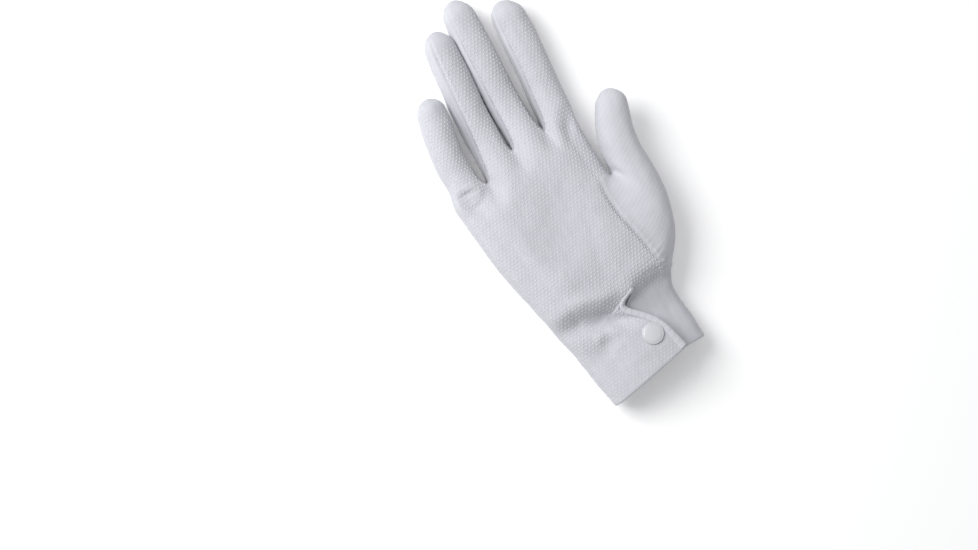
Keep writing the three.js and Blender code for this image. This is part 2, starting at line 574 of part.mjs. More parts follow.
// A closed solid from the patches that keep() picks: its outer face lies depth below the skin, it is
// thick, and its edges are drawn back.
function clothSolid(keep, depth, thick) {
  const chosen = patches.filter(keep);
  const edges = new Map();
  for (const { corners } of chosen) {
    const [a, b, c, d] = corners.map((name) => points.get(name));
    const facing = c.clone().sub(a).cross(d.clone().sub(b)).normalize();
    corners.forEach((from, j) => {
      const to = corners[(j + 1) % corners.length];
      const twin = `${to}|${from}`;
      if (edges.has(twin)) edges.delete(twin);
      else edges.set(`${from}|${to}`, { from, to, facing });
    });
  }
  const pulls = new Map();
  for (const { from, to, facing } of edges.values()) {
    const run = points.get(to).clone().sub(points.get(from)).normalize();
    const way = facing.clone().cross(run).normalize();
    for (const name of [from, to]) {
      pulls.set(name, [...(pulls.get(name) ?? []), { way, amount: drawBack(from, to) }]);
    }
  }
  const names = [...new Set(chosen.flatMap(({ corners }) => corners))];
  const number = new Map(names.map((name, n) => [name, n]));
  const outer = names.map((name) => {
    const point = points.get(name).clone();
    if (pulls.has(name)) point.add(cornerMove(pulls.get(name)));
    return point.addScaledVector(normals.get(name), -depth);
  });
  const inner = outer.map((point, n) => point.clone().addScaledVector(normals.get(names[n]), -thick));
  const faces = [];
  const quad = (a, b, c, d) => faces.push(a, b, c, a, c, d);
  for (const { corners } of chosen) {
    const [a, b, c, d] = corners.map((name) => number.get(name));
    quad(a, b, c, d);
    quad(...[d, c, b, a].map((n) => n + names.length));
  }
  for (const { from, to } of edges.values()) {
    const [a, b] = [number.get(from), number.get(to)];
    quad(b, a, a + names.length, b + names.length);
  }
  return solid([...outer, ...inner], faces);
}

// A closed solid through rings of points, each ring anticlockwise as seen from the last one.
function sweptSolid(rings) {
  const count = rings[0].length;
  const faces = [];
  for (let r = 0; r < rings.length - 1; r++) {
    for (let j = 0; j < count; j++) {
      const [a, b] = [r * count + j, r * count + ((j + 1) % count)];
      faces.push(a, b, b + count, a, b + count, a + count);
    }
  }
  const last = (rings.length - 1) * count;
  for (let j = 1; j < count - 1; j++) {
    faces.push(0, j + 1, j);
    faces.push(last, last + j, last + j + 1);
  }
  return solid(rings.flat(), faces);
}

function solid(corners, faces) {
  const places = corners.flatMap((point) => point.toArray());
  const geometry = new THREE.BufferGeometry();
  geometry.setAttribute("position", new THREE.Float32BufferAttribute(places, 3));
  geometry.setIndex(faces);
  geometry.computeVertexNormals();
  return geometry;
}

const cotton = new THREE.MeshStandardMaterial({ color: 0xd9d9de, roughness: 0.92, metalness: 0 });
const snapWhite = new THREE.MeshStandardMaterial({ color: 0xdcdce0, roughness: 0.45, metalness: 0 });

const glove = new THREE.Group();
function add(name, geometry, material) {
  const mesh = new THREE.Mesh(geometry, material);
  mesh.name = name;
  glove.add(mesh);
  mesh.updateMatrixWorld();
  return mesh;
}

const pieceOf = (label) => clothSolid((p) => p.label === label, 0, CLOTH);
const palm = add("palm", pieceOf("palm"), cotton);
const back = add("back", pieceOf("back"), cotton);
add("thumb", pieceOf("thumb"), cotton);
["ring_little", "middle_ring", "index_middle"].forEach((pair, k) => {
  add(`fourchette_${pair}`, pieceOf(`fourchette${k + 1}`), cotton);
});
add("cuff_hem", clothSolid((p) => p.ring < HEM_RING, CLOTH + SEAM_GAP, CLOTH), cotton);

// Binding round the top of the vent and down the upper flap's edge
function binding() {
  const edge = [];
  for (let r = 0; r <= OPENING_START; r++) {
    const name = `P${SLIT_COLUMN},${r}`;
    const raise = Math.max(0, 1.4 - 0.95 * (OPENING_START - r)) * BINDING_HEIGHT;
    edge.push(points.get(name).clone().addScaledVector(normals.get(name), raise));
  }
  const curve = new THREE.CatmullRomCurve3(edge);
  const stations = 26;
  const sides = 8;
  const rings = [];
  for (let k = 0; k <= stations; k++) {
    const centre = curve.getPointAt(k / stations);
    const along = curve.getTangentAt(k / stations);
    const side = along.clone().cross(vec(0, 0, 1)).normalize();
    const up = side.clone().cross(along).normalize();
    const ring = [];
    for (let j = 0; j < sides; j++) {
      const angle = (-2 * Math.PI * j) / sides;
      ring.push(
        centre
          .clone()
          .addScaledVector(side, (BINDING_WIDTH / 2) * Math.cos(angle))
          .addScaledVector(up, (BINDING_HEIGHT / 2) * Math.sin(angle) - CLOTH / 3),
      );
    }
    rings.push(ring);
  }
  return sweptSolid(rings);
}
add("vent_binding", binding(), cotton);

// The faces of a mesh that a vertical line meets, from the top down or from the bottom up.
function heights(mesh, x, y, fromBelow) {
  const start = vec(x, y, (fromBelow ? -2 : 2) * HAND_LENGTH);
  const caster = new THREE.Raycaster(start, vec(0, 0, fromBelow ? 1 : -1));
  return caster.intersectObject(mesh).map((hit) => hit.point.z);
}

// The flat seat for a disc on a face: above it, or below it where side is -1. heightAt gives the face.
function discSeat(x, y, radius, side, heightAt) {
  const centre = vec(x, y, heightAt(x, y));
  const slopeX = (heightAt(x + radius, y) - heightAt(x - radius, y)) / (2 * radius);
  const slopeY = (heightAt(x, y + radius) - heightAt(x, y - radius)) / (2 * radius);
  const axis = vec(-slopeX, -slopeY, 1).normalize();
  let proud = 0;
  for (let j = 0; j < 24; j++) {
    for (const share of [0.5, 1]) {
      const angle = (Math.PI * j) / 12;
      const [px, py] = [x + share * radius * Math.cos(angle), y + share * radius * Math.sin(angle)];
      const rim = vec(px, py, heightAt(px, py));
      proud = Math.max(proud, side * rim.sub(centre).dot(axis));
    }
  }
  return { axis, place: centre.addScaledVector(axis, side * (proud + SEAM_GAP)) };
}

function turned(profile, { place, axis }, lift) {
  const outline = profile.map(([radius, height]) => new THREE.Vector2(radius, height));
  const geometry = new THREE.LatheGeometry(outline, 24);
  geometry.applyQuaternion(new THREE.Quaternion().setFromUnitVectors(vec(0, 1, 0), axis));
  return geometry.translate(...place.clone().addScaledVector(axis, lift).toArray());
}

// Snap fastener: a domed cap on the upper flap, its socket beneath, and the stud on the lower flap
const cuffRing = RINGS.findIndex((v) => v * HAND_LENGTH >= SNAP_TO_CUFF);
const nearEdge = [cuffRing - 1, cuffRing].map((r) => points.get(`P${SLIT_COLUMN},${r}`));
const share = (SNAP_TO_CUFF / HAND_LENGTH - RINGS[cuffRing - 1]) / (RINGS[cuffRing] - RINGS[cuffRing - 1]);
const edgeThere = nearEdge[0].clone().lerp(nearEdge[1], share);
const [snapX, snapY] = [edgeThere.x - SNAP_TO_FLAP, edgeThere.y];
const capRadius = SNAP_DIAMETER / 2;
const capSeat = discSeat(snapX, snapY, capRadius, 1, (x, y) => heights(palm, x, y, false)[0]);
const CAP_PROFILE = [
  [0, 0],
  [capRadius, 0],
  [capRadius, 0.35 * SNAP_CAP_HEIGHT],
  [0.93 * capRadius, 0.66 * SNAP_CAP_HEIGHT],
  [0.72 * capRadius, 0.88 * SNAP_CAP_HEIGHT],
  [0.4 * capRadius, 0.98 * SNAP_CAP_HEIGHT],
  [0, SNAP_CAP_HEIGHT],
];
add("snap_cap", turned(CAP_PROFILE, capSeat, 0), snapWhite);

const backRadius = SNAP_BACK_DIAMETER / 2;
const hemFace = (x, y) => heights(palm, x, y, true).at(-1) - SEAM_GAP - CLOTH;
const under = discSeat(snapX, snapY, backRadius, -1, hemFace);
const SOCKET_PROFILE = [
  [SOCKET_BORE / 2, -SOCKET_HEIGHT],
  [backRadius, -SOCKET_HEIGHT],
  [backRadius, 0],
  [SOCKET_BORE / 2, 0],
  [SOCKET_BORE / 2, -SOCKET_HEIGHT],
];
add("snap_socket", turned(SOCKET_PROFILE, under, 0), snapWhite);

const post = SOCKET_BORE / 2 - SEAM_GAP;
const studTop = -SEAM_GAP;
const studFoot = -SOCKET_HEIGHT - SEAM_GAP - STUD_BASE;
const STUD_PROFILE = [
  [0, studFoot],
  [backRadius, studFoot],
  [backRadius, studFoot + STUD_BASE],
  [post, studFoot + STUD_BASE],
  [post, studTop],
  [0, studTop],
];
add("snap_stud", turned(STUD_PROFILE, under, 0), snapWhite);

// Raised seams on the back. crotch counts from the little finger, and length is a share of POINT_LENGTH.
const POINTS = [
  { crotch: 1, length: 0.93 },
  { crotch: 2, length: 1.06 },
  { crotch: 3, length: 1.03 },
];
const POINT_SECTION = [
  [1, 0],
  [-1, 0],
  [-0.92, -0.5],
  [-0.55, -0.88],
  [0, -1],
  [0.55, -0.88],
  [0.92, -0.5],
];

function raisedSeam({ crotch, length }) {
  const start = points.get(`B${crotch * ACROSS},${LAST_RING}`);
  const middleStart = points.get(`B${2 * ACROSS},${LAST_RING}`);
  const run = length * POINT_LENGTH;
  const wristX = middleStart.x + POINT_SHIFT + (crotch - 2) * POINT_SPREAD;
  const rings = [];
  const stations = 16;
  for (let k = 0; k <= stations; k++) {
    const t = k / stations;
    const x = lerp(start.x, wristX, t);
    const y = start.y - POINT_SETBACK - t * run;
    const taper = 0.55 + 0.45 * Math.min(1, 8 * t, 8 * (1 - t));
    const half = (POINT_WIDTH / 2) * taper;
    const under = [-half, 0, half].map((dx) => heights(back, x + dx, y, true)[0]);
    const top = Math.min(...under) - SEAM_GAP;
    rings.push(POINT_SECTION.map(([across, up]) => vec(x + across * half, y, top + up * POINT_HEIGHT)));
  }
  return sweptSolid(rings);
}
POINTS.forEach((point, k) => add(`point_${k + 1}`, raisedSeam(point), cotton));

// The glove stands on z = 0 with its box centred on the origin.
const box = new THREE.Box3().setFromObject(glove);
const middle = box.getCenter(vec(0, 0, 0));
glove.position.set(-middle.x, -middle.y, -box.min.z);

export default glove;
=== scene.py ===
import math

import bpy
import numpy as np
from bpy.props import FloatProperty, FloatVectorProperty, IntProperty, PointerProperty
from mathutils import Matrix, Quaternion, Vector, noise
from mathutils.bvhtree import BVHTree
from mathutils.kdtree import KDTree


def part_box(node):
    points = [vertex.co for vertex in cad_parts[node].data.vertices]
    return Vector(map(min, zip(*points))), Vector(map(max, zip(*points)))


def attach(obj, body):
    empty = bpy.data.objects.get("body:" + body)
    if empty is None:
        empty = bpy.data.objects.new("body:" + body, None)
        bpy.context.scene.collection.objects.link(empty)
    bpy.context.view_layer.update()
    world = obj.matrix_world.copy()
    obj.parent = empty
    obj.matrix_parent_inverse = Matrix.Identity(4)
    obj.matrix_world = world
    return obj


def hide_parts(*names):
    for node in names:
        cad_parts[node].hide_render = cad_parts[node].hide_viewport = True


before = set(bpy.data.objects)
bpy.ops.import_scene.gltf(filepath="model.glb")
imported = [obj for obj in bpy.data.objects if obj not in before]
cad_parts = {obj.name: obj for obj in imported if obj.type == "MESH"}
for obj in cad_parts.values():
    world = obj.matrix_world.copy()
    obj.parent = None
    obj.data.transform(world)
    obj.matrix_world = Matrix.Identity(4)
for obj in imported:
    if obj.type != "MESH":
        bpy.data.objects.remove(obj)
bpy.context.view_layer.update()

bl_info = {
    "name": "White Parade Glove",
    "version": (1, 0, 0),
    "blender": (4, 5, 0),
    "location": "3D View > Sidebar > Glove",
    "description": "Sews a white knitted parade glove with grip dots, lying with its palm up",
    "category": "Object",
}

MM = 0.001


def table(columns, *rows):
    """Rows with named columns."""
    return [dict(zip(columns.split(), row)) for row in rows]


# Outline and height of the hand, from the cuff edge (0) to the knuckles (1). little and thumb are the
# two outlines from its middle, palm_seam and back_seam where each sheet ends on the thumb's side, all as
# shares of the knuckle width. thick is a share of the hand's thickness.
HAND_SECTIONS = table(
    "at little thumb palm_seam back_seam thick",
    (0.0, -0.228, 0.54, 0.43, 0.42, 1.0),
    (0.1, -0.263, 0.531, 0.42, 0.41, 0.98),
    (0.2, -0.29, 0.517, 0.41, 0.41, 0.94),
    (0.25, -0.303, 0.525, 0.43, 0.44, 0.97),
    (0.3, -0.326, 0.575, 0.505, 0.53, 1.0),
    (0.4, -0.366, 0.57, 0.49, 0.54, 1.07),
    (0.5, -0.41, 0.55, 0.455, 0.53, 1.1),
    (0.6, -0.449, 0.53, 0.425, 0.51, 1.06),
    (0.7, -0.482, 0.51, 0.415, 0.46, 1.0),
    (0.745, -0.493, 0.504, 0.425, 0.425, 0.98),
    (0.8, -0.505, 0.497, 0.4, 0.4, 0.95),
    (0.9, -0.522, 0.494, 0.4, 0.4, 0.87),
    (1.0, -0.53, 0.5, 0.467, 0.467, 0.76),
)

# One section of any finger: at is a share of its length, width and thick of its own width and thickness.
FINGER_SECTIONS = table(
    "at width thick",
    (0.0, 1.04, 1.04),
    (0.11, 1.0, 1.02),
    (0.25, 0.99, 1.0),
    (0.4, 0.98, 0.98),
    (0.55, 1.0, 0.97),
    (0.7, 1.01, 0.95),
    (0.82, 0.97, 0.88),
    (0.905, 0.91, 0.82),
    (0.962, 0.71, 0.62),
)

# How each finger lies, from the little one on: flare of its root, lean towards the thumb and roll about
# its length in degrees, bow as a share of its width, lift of its root and curl of its tip as shares of
# its thickness.
FINGER_POSES = table(
    "flare lean bow roll lift curl",
    (1.12, 4.8, -0.14, 28, 0.2, 0.42),
    (1.07, 3.3, -0.07, 22, 0.1, 0.34),
    (1.045, 1.3, -0.06, 12, 0.02, 0.24),
    (0.966, 4.7, 0.06, 2, 0.0, 0.2),
)

# The line where the fingers begin, across the hand, as a share of the knuckle arch.
KNUCKLE_LINE = table("at reach", (0.0, -0.8), (0.25, -0.56), (0.51, 0.24), (0.76, 0.28), (1.0, 0.0))

# Sections of the thumb from its seam to its tip. up and out place the inner point from the crotch, turn is
# the section's angle, base and wide give its width from the opening and from the thumb's own width.
THUMB_SECTIONS = table(
    "up out turn base wide thick lift",
    (0.02, 0.08, -74, 0.7, 0.4, 1.42, 0.1),
    (0.1, 0.1, -61, 0.42, 0.74, 1.36, 0.25),
    (0.21, 0.11, -47, 0.22, 0.93, 1.26, 0.4),
    (0.37, 0.15, -33, 0.08, 0.98, 1.14, 0.6),
    (0.55, 0.24, -21.5, 0.02, 0.96, 1.04, 0.8),
    (0.73, 0.39, -13, 0, 0.98, 0.96, 0.92),
    (0.84, 0.54, -8, 0, 0.905, 0.84, 1),
    (0.92, 0.645, -5, 0, 0.745, 0.68, 1),
    (0.97, 0.79, -4, 0, 0.49, 0.45, 1),
)

# Where the vent's edges run, from the cuff edge (0) to its top (1): upper and lower are their places from
# the slit's line as shares of the overlap, and drop the step down to the lower flap.
VENT_EDGES = table(
    "at upper lower drop",
    (0.0, 0.53, -0.47, 1),
    (0.18, 0.47, -0.47, 1),
    (0.41, 0.38, -0.47, 1),
    (0.48, 0.29, -0.47, 1),
    (0.53, 0.2, -0.47, 0.99),
    (0.6, 0.07, -0.47, 0.96),
    (0.67, -0.09, -0.48, 0.9),
    (0.78, -0.37, -0.48, 0.76),
    (0.89, -0.55, -0.27, 0.4),
    (1.0, 0.0, 0.0, 0),
)

# Mounds and folds of the palm, from one place to another across it and up from the cuff (both 0 to 1).
# width and height are shares of the hand's thickness.
PALM_FOLDS = table(
    "x0 y0 x1 y1 width height",
    (0.0, 0.42, 0.5, 0.325, 0.22, 0.06),
    (-0.1, 0.37, 0.46, 0.25, 0.2, -0.12),
    (0.06, 0.19, 0.22, 0.225, 0.16, -0.05),
    (0.35, 0.12, 0.7, 0.13, 0.5, 0.04),
    (0.6, 0.335, 0.98, 0.36, 0.2, 0.06),
    (0.66, 0.285, 1.0, 0.28, 0.16, -0.08),
    (0.1, 0.5, 0.12, 0.7, 0.6, 0.05),
    (0.45, 0.62, 0.55, 0.72, 0.7, -0.07),
    (0.04, 0.93, 0.24, 0.97, 0.14, -0.05),
)

# Small creases of the palm side in millimetres from the middle of the knuckles and up from the cuff edge.
CREASES = table(
    "x0 y0 x1 y1 width height",
    (-43, 141.7, -32, 141.4, 1.7, 0.6),
    (-44, 138.6, -31, 137.6, 1.3, -0.8),
    (-38.5, 129.2, -31, 129.6, 1.4, -0.6),
    (-24.5, 136, -32, 129.5, 2.4, -0.6),
    (-16, 41, 9, 30, 4.4, -1.7),
    (-24, 47, 4, 37, 2.6, -0.5),
    (-20, 54, 12, 45, 3.2, 0.7),
    (-14, 30, -4, 33, 2.0, -0.5),
    (24, 44, 44, 40, 2.0, -0.6),
    (26, 50, 45, 49, 2.2, 0.5),
    (8, 60, 20, 100, 5.0, -0.4),
)

ACROSS = 4
SIDE = 4
CUFF_RINGS = 9
OPENING_RINGS = 9
KNUCKLE_RINGS = 5
FINGERS = len(FINGER_POSES)
COLUMNS = ACROSS * FINGERS
SLIT_COLUMN = int(2.5 * ACROSS)
OPENING_START = CUFF_RINGS
OPENING_END = CUFF_RINGS + OPENING_RINGS
LAST_RING = OPENING_END + KNUCKLE_RINGS
PALM_FACE_ANGLE = math.radians(56)
THUMB_FACE_ANGLE = math.radians(58)
ROUNDNESS = 0.9
FLAP_RISE = 0.1  # how far the lower flap comes up again at its outer side, as a share of the drop
DOME_REACH = 1.25  # how far a tip's dome stands past the last section, as a share of the way to the tip
DOME_FALL = 0.75  # how a tip's dome falls away from its middle: a smaller power is flatter
CROTCH_SAG = 0.0012  # how far the cloth hangs back between two fingers, in metres
TIP_SPREAD = 0.6  # width of a dome on the flat cloth, as a share of a finger's thickness
THUMB_GRAIN = math.radians(30)
FIT_PASSES = 3  # how often the cage is corrected until the smooth skin runs through its points
LOWER_FLAP_SHIFT = 0.24  # keeps the lower flap's cloth map clear of the upper one's
LOWEST_CLOTH = 0.0003  # height over the floor, in metres

# Slack of the cloth in millimetres: the length and the height of its broad and of its fine waves.
SLACK_LENGTH = 19
SLACK_HEIGHT = 0.45
FINE_SLACK_LENGTH = 5.5
FINE_SLACK_HEIGHT = 0.12
FINE_SLACK_START = Vector((7, 3, 1))

# Sewn seams in millimetres: the groove, the swell beside it and the gathers along it. Towards a fingertip
# they fade between the two distances of SEAM_FADE.
GROOVE_DEPTH = 0.62
GROOVE_WIDTH = 0.7
SWELL_HEIGHT = 0.34
SWELL_PLACE = 1.7
SWELL_WIDTH = 1.0
GATHER_HEIGHT = 0.14
FINE_GATHER_HEIGHT = 0.08
FINE_GATHER_RATE = 2.7
GATHER_PITCH = 3.4
GATHER_REACH = 2.6
SEAM_FADE = (4, 18)
SEAM_AT_TIP = 0.06  # the share of a seam that is left at a tip

# The thumb's raised seam in millimetres. Its gathers are highest and widest near the wrist.
RIDGE_HEIGHT = 0.4
RIDGE_WIDTH = 1.4
THUMB_GATHER_HEIGHT = 0.06
THUMB_GATHER_PITCH = 3.0
THUMB_GATHER_REACH = 2.4
WRIST_GATHER_HEIGHT = 0.34
WRIST_GATHER_REACH = 3
WRIST_PLACE = 46
WRIST_WIDTH = 14

# Each knit's ribs: their spacing in metres and how much they show.
RIBS = {
    "dotted_knit": (0.0050, 0.10),
    "plain_knit": (0.0024, 0.16),
    "fourchette_knit": (0.0030, 0.12),
    "hem_knit": (0.0024, 0.10),
    "binding_knit": (0.0018, 0.30),
}
COURSE = 0.8  # height of one row of knitting, as a share of a column's width
PAINTED_SHADE_FADE = (0.015, 0.06)  # where the painted shade between the fingers fades out, in metres from the knuckles

# The lattice of grip dots on the flat cloth.
LATTICE_COLUMNS = 260
LATTICE_ROWS = 220
LATTICE_TURN = math.radians(6)
LATTICE_MIDDLE = 0.1  # its middle along the cloth, in metres
ROW_SHIFT = 500.25  # keeps the number of a row positive and clear of rounding
SMALLEST_DOT = 0.3  # smaller shares of a dot are left out
DOT_TOP = 0.28  # radius of a dot's top as a share of its width
DOT_BODY = 1.7  # height of a dot with its sunk foot, as a share of how far it stands proud
DOT_FOOT = 0.7  # depth of its foot, as the same share

# The worn middle of the palm, where the grip dots are smaller: its place and width in millimetres.
WORN_PLACE = 96
WORN_WIDTH = 34
WORN_SHARE = 0.22

# The stage. Lengths are in metres, the powers of the lamps in watts.
LAMPS = table(
    "name x y z width power",
    ("soft_key", -0.82, 0.84, 1.08, 1.0, 25),
    ("overhead_fill", 0.0, 0.1, 1.7, 1.4, 4),
)
ROOM_COLOUR = (0.97, 0.98, 1.0, 1)
ROOM_LIGHT = 0.4
FLOOR_HALF = 3.0
FLOOR_GLOW = 0.12

# The photograph's view: the point it is aimed at, the way that is up in it, its lean from straight down,
# its distance in metres, and the lens in millimetres.
VIEW_TARGET = Vector((-0.0621, -0.0229, 0.014))
VIEW_UP = Vector((0.5, 0.866, 0))
VIEW_LEAN = math.radians(11)
VIEW_DISTANCE = 2.126
VIEW_LENS = 135
VIEW_SENSOR = 36
VIEW_REACH = 20


def length(name, description, default):
    """A size in metres that a user may change."""
    return FloatProperty(name=name, description=description, default=default, precision=5, unit="LENGTH")


def colour(name, description, default):
    """A colour that a user may change."""
    return FloatVectorProperty(
        name=name, description=description, default=default, subtype="COLOR", size=3, min=0, max=1
    )


class GloveSizes(bpy.types.PropertyGroup):
    """Sizes of the sewn glove."""

    cloth: length("Cloth", "Thickness of the knitted cloth", 0.0012)
    seam_gap: length("Seam gap", "Clear space between two layers", 0.0003)
    hand_length: length("Hand length", "Cuff edge to the knuckles", 0.145)
    hand_thickness: length("Hand thickness", "Palm to back", 0.028)
    cuff_slant: length("Cuff slant", "Drop of the cuff edge towards the little finger", 0.010)
    cup_lift: length("Cup lift", "Rise of the little finger's side", 0.0045)
    knuckle_arch: length("Knuckle arch", "Swing of the line where the fingers begin", 0.0125)
    web_dip: length("Web dip", "How far the sheets sink towards a crotch", 0.0046)
    little_length: length("Little finger length", "Root to tip", 0.0615)
    ring_length: length("Ring finger length", "Root to tip", 0.0872)
    middle_length: length("Middle finger length", "Root to tip", 0.0926)
    index_length: length("Index finger length", "Root to tip", 0.0806)
    little_width: length("Little finger width", "Width of the little finger", 0.0188)
    ring_width: length("Ring finger width", "Width of the ring finger", 0.0202)
    middle_width: length("Middle finger width", "Width of the middle finger", 0.0202)
    index_width: length("Index finger width", "Width of the index finger", 0.0208)
    finger_thickness: length("Finger thickness", "Palm side to back of a finger", 0.0184)
    finger_gap: length("Finger gap", "Space between fingers at their roots", 0.0009)
    thumb_crotch: length("Thumb crotch", "Height of the thumb's crotch over the cuff edge", 0.1075)
    thumb_length: length("Thumb length", "Crotch to tip", 0.0446)
    thumb_width: length("Thumb width", "Width of the thumb", 0.0214)
    thumb_thickness: length("Thumb thickness", "Thickness of the thumb", 0.0196)
    thumb_lift: length("Thumb lift", "Rise of the thumb's tip", 0.005)
    hem_depth: length("Hem depth", "Depth of the band turned in at the cuff", 0.022)
    vent_length: length("Vent length", "Length of the slit at the wrist", 0.0445)
    flap_overlap: length("Flap overlap", "How far the upper flap covers the lower", 0.018)
    flap_drop: length("Flap drop", "Step from the upper flap down to the lower", 0.0056)
    point_bed: length("Point bed", "Height of the back over its raised seams", 0.0016)
    binding_width: length("Binding width", "Width of the rolled binding", 0.0034)
    binding_height: length("Binding height", "Height of the rolled binding", 0.0024)
    point_length: length("Point length", "Length of a raised seam on the back", 0.076)
    point_width: length("Point width", "Width of a raised seam on the back", 0.0026)
    point_height: length("Point height", "Height of a raised seam on the back", 0.0013)
    point_spread: length("Point spread", "Spacing of the raised seams at the wrist", 0.013)
    dot_pitch: length("Dot pitch", "Spacing of the grip dots across the hand", 0.0025)
    dot_rows: length("Dot rows", "Spacing of the rows of dots along the hand", 0.0019)
    dot_width: length("Dot width", "Diameter of a grip dot", 0.00145)
    dot_height: length("Dot height", "How far a grip dot stands proud", 0.00022)
    wale: length("Wale", "Width of one column of knitting", 0.00125)
    stitch_pitch: length("Stitch pitch", "Spacing of the sewing stitches", 0.0023)
    stitch_length: length("Stitch length", "Length of a sewing stitch", 0.0017)
    stitch_width: length("Stitch width", "Thickness of a sewing stitch", 0.00042)
    smoothing: IntProperty(
        name="Smoothing", description="Subdivisions of the skin", default=3, min=1, max=3
    )


class GloveColours(bpy.types.PropertyGroup):
    """Colours of the glove's materials."""

    cotton: colour("Cotton", "Knitted cloth", (0.56, 0.56, 0.60))
    palm: colour("Palm", "Knitted cloth under the grip dots", (0.53, 0.53, 0.57))
    # Painted shade: a greyer tint for the fourchettes towards the crotches, where the neighbouring fingers
    # shade them.
    crotch_painted_shade: colour("Crotches", "Greyer knit between the fingers' roots", (0.38, 0.38, 0.41))
    dots: colour("Grip dots", "Rubbery dots on the palm", (0.62, 0.62, 0.65))
    thread: colour("Thread", "Sewing thread", (0.60, 0.60, 0.63))
    snap: colour("Snap", "Painted metal cap", (0.58, 0.58, 0.61))
    floor: colour("Floor", "Pale floor", (0.93, 0.93, 0.93))


def clamp(value, low=0.0, high=1.0):
    return max(low, min(high, value))


def lerp(a, b, t):
    return a + (b - a) * t


def smoothstep(value, low, high):
    t = clamp((value - low) / (high - low))
    return t * t * (3 - 2 * t)


def sample(rows, column, at):
    """A column of a table at a place between its rows, along a smooth curve through them."""
    last = len(rows) - 1
    place = clamp(at, rows[0]["at"], rows[last]["at"])
    i = 0
    while i < last - 1 and place > rows[i + 1]["at"]:
        i += 1

    def slope(j):
        before, after = rows[max(j - 1, 0)], rows[min(j + 1, last)]
        return (after[column] - before[column]) / (after["at"] - before["at"])

    span = rows[i + 1]["at"] - rows[i]["at"]
    t = (place - rows[i]["at"]) / span
    return (
        (2 * t**3 - 3 * t**2 + 1) * rows[i][column]
        + (t**3 - 2 * t**2 + t) * span * slope(i)
        + (3 * t**2 - 2 * t**3) * rows[i + 1][column]
        + (t**3 - t**2) * span * slope(i + 1)
    )


def signed_power(value, power):
    return math.copysign(abs(value) ** power, value)


def bell(distance, width):
    """A smooth bump: 1 in its middle, close to 0 at twice its width."""
    return np.exp(-((distance / width) ** 2))


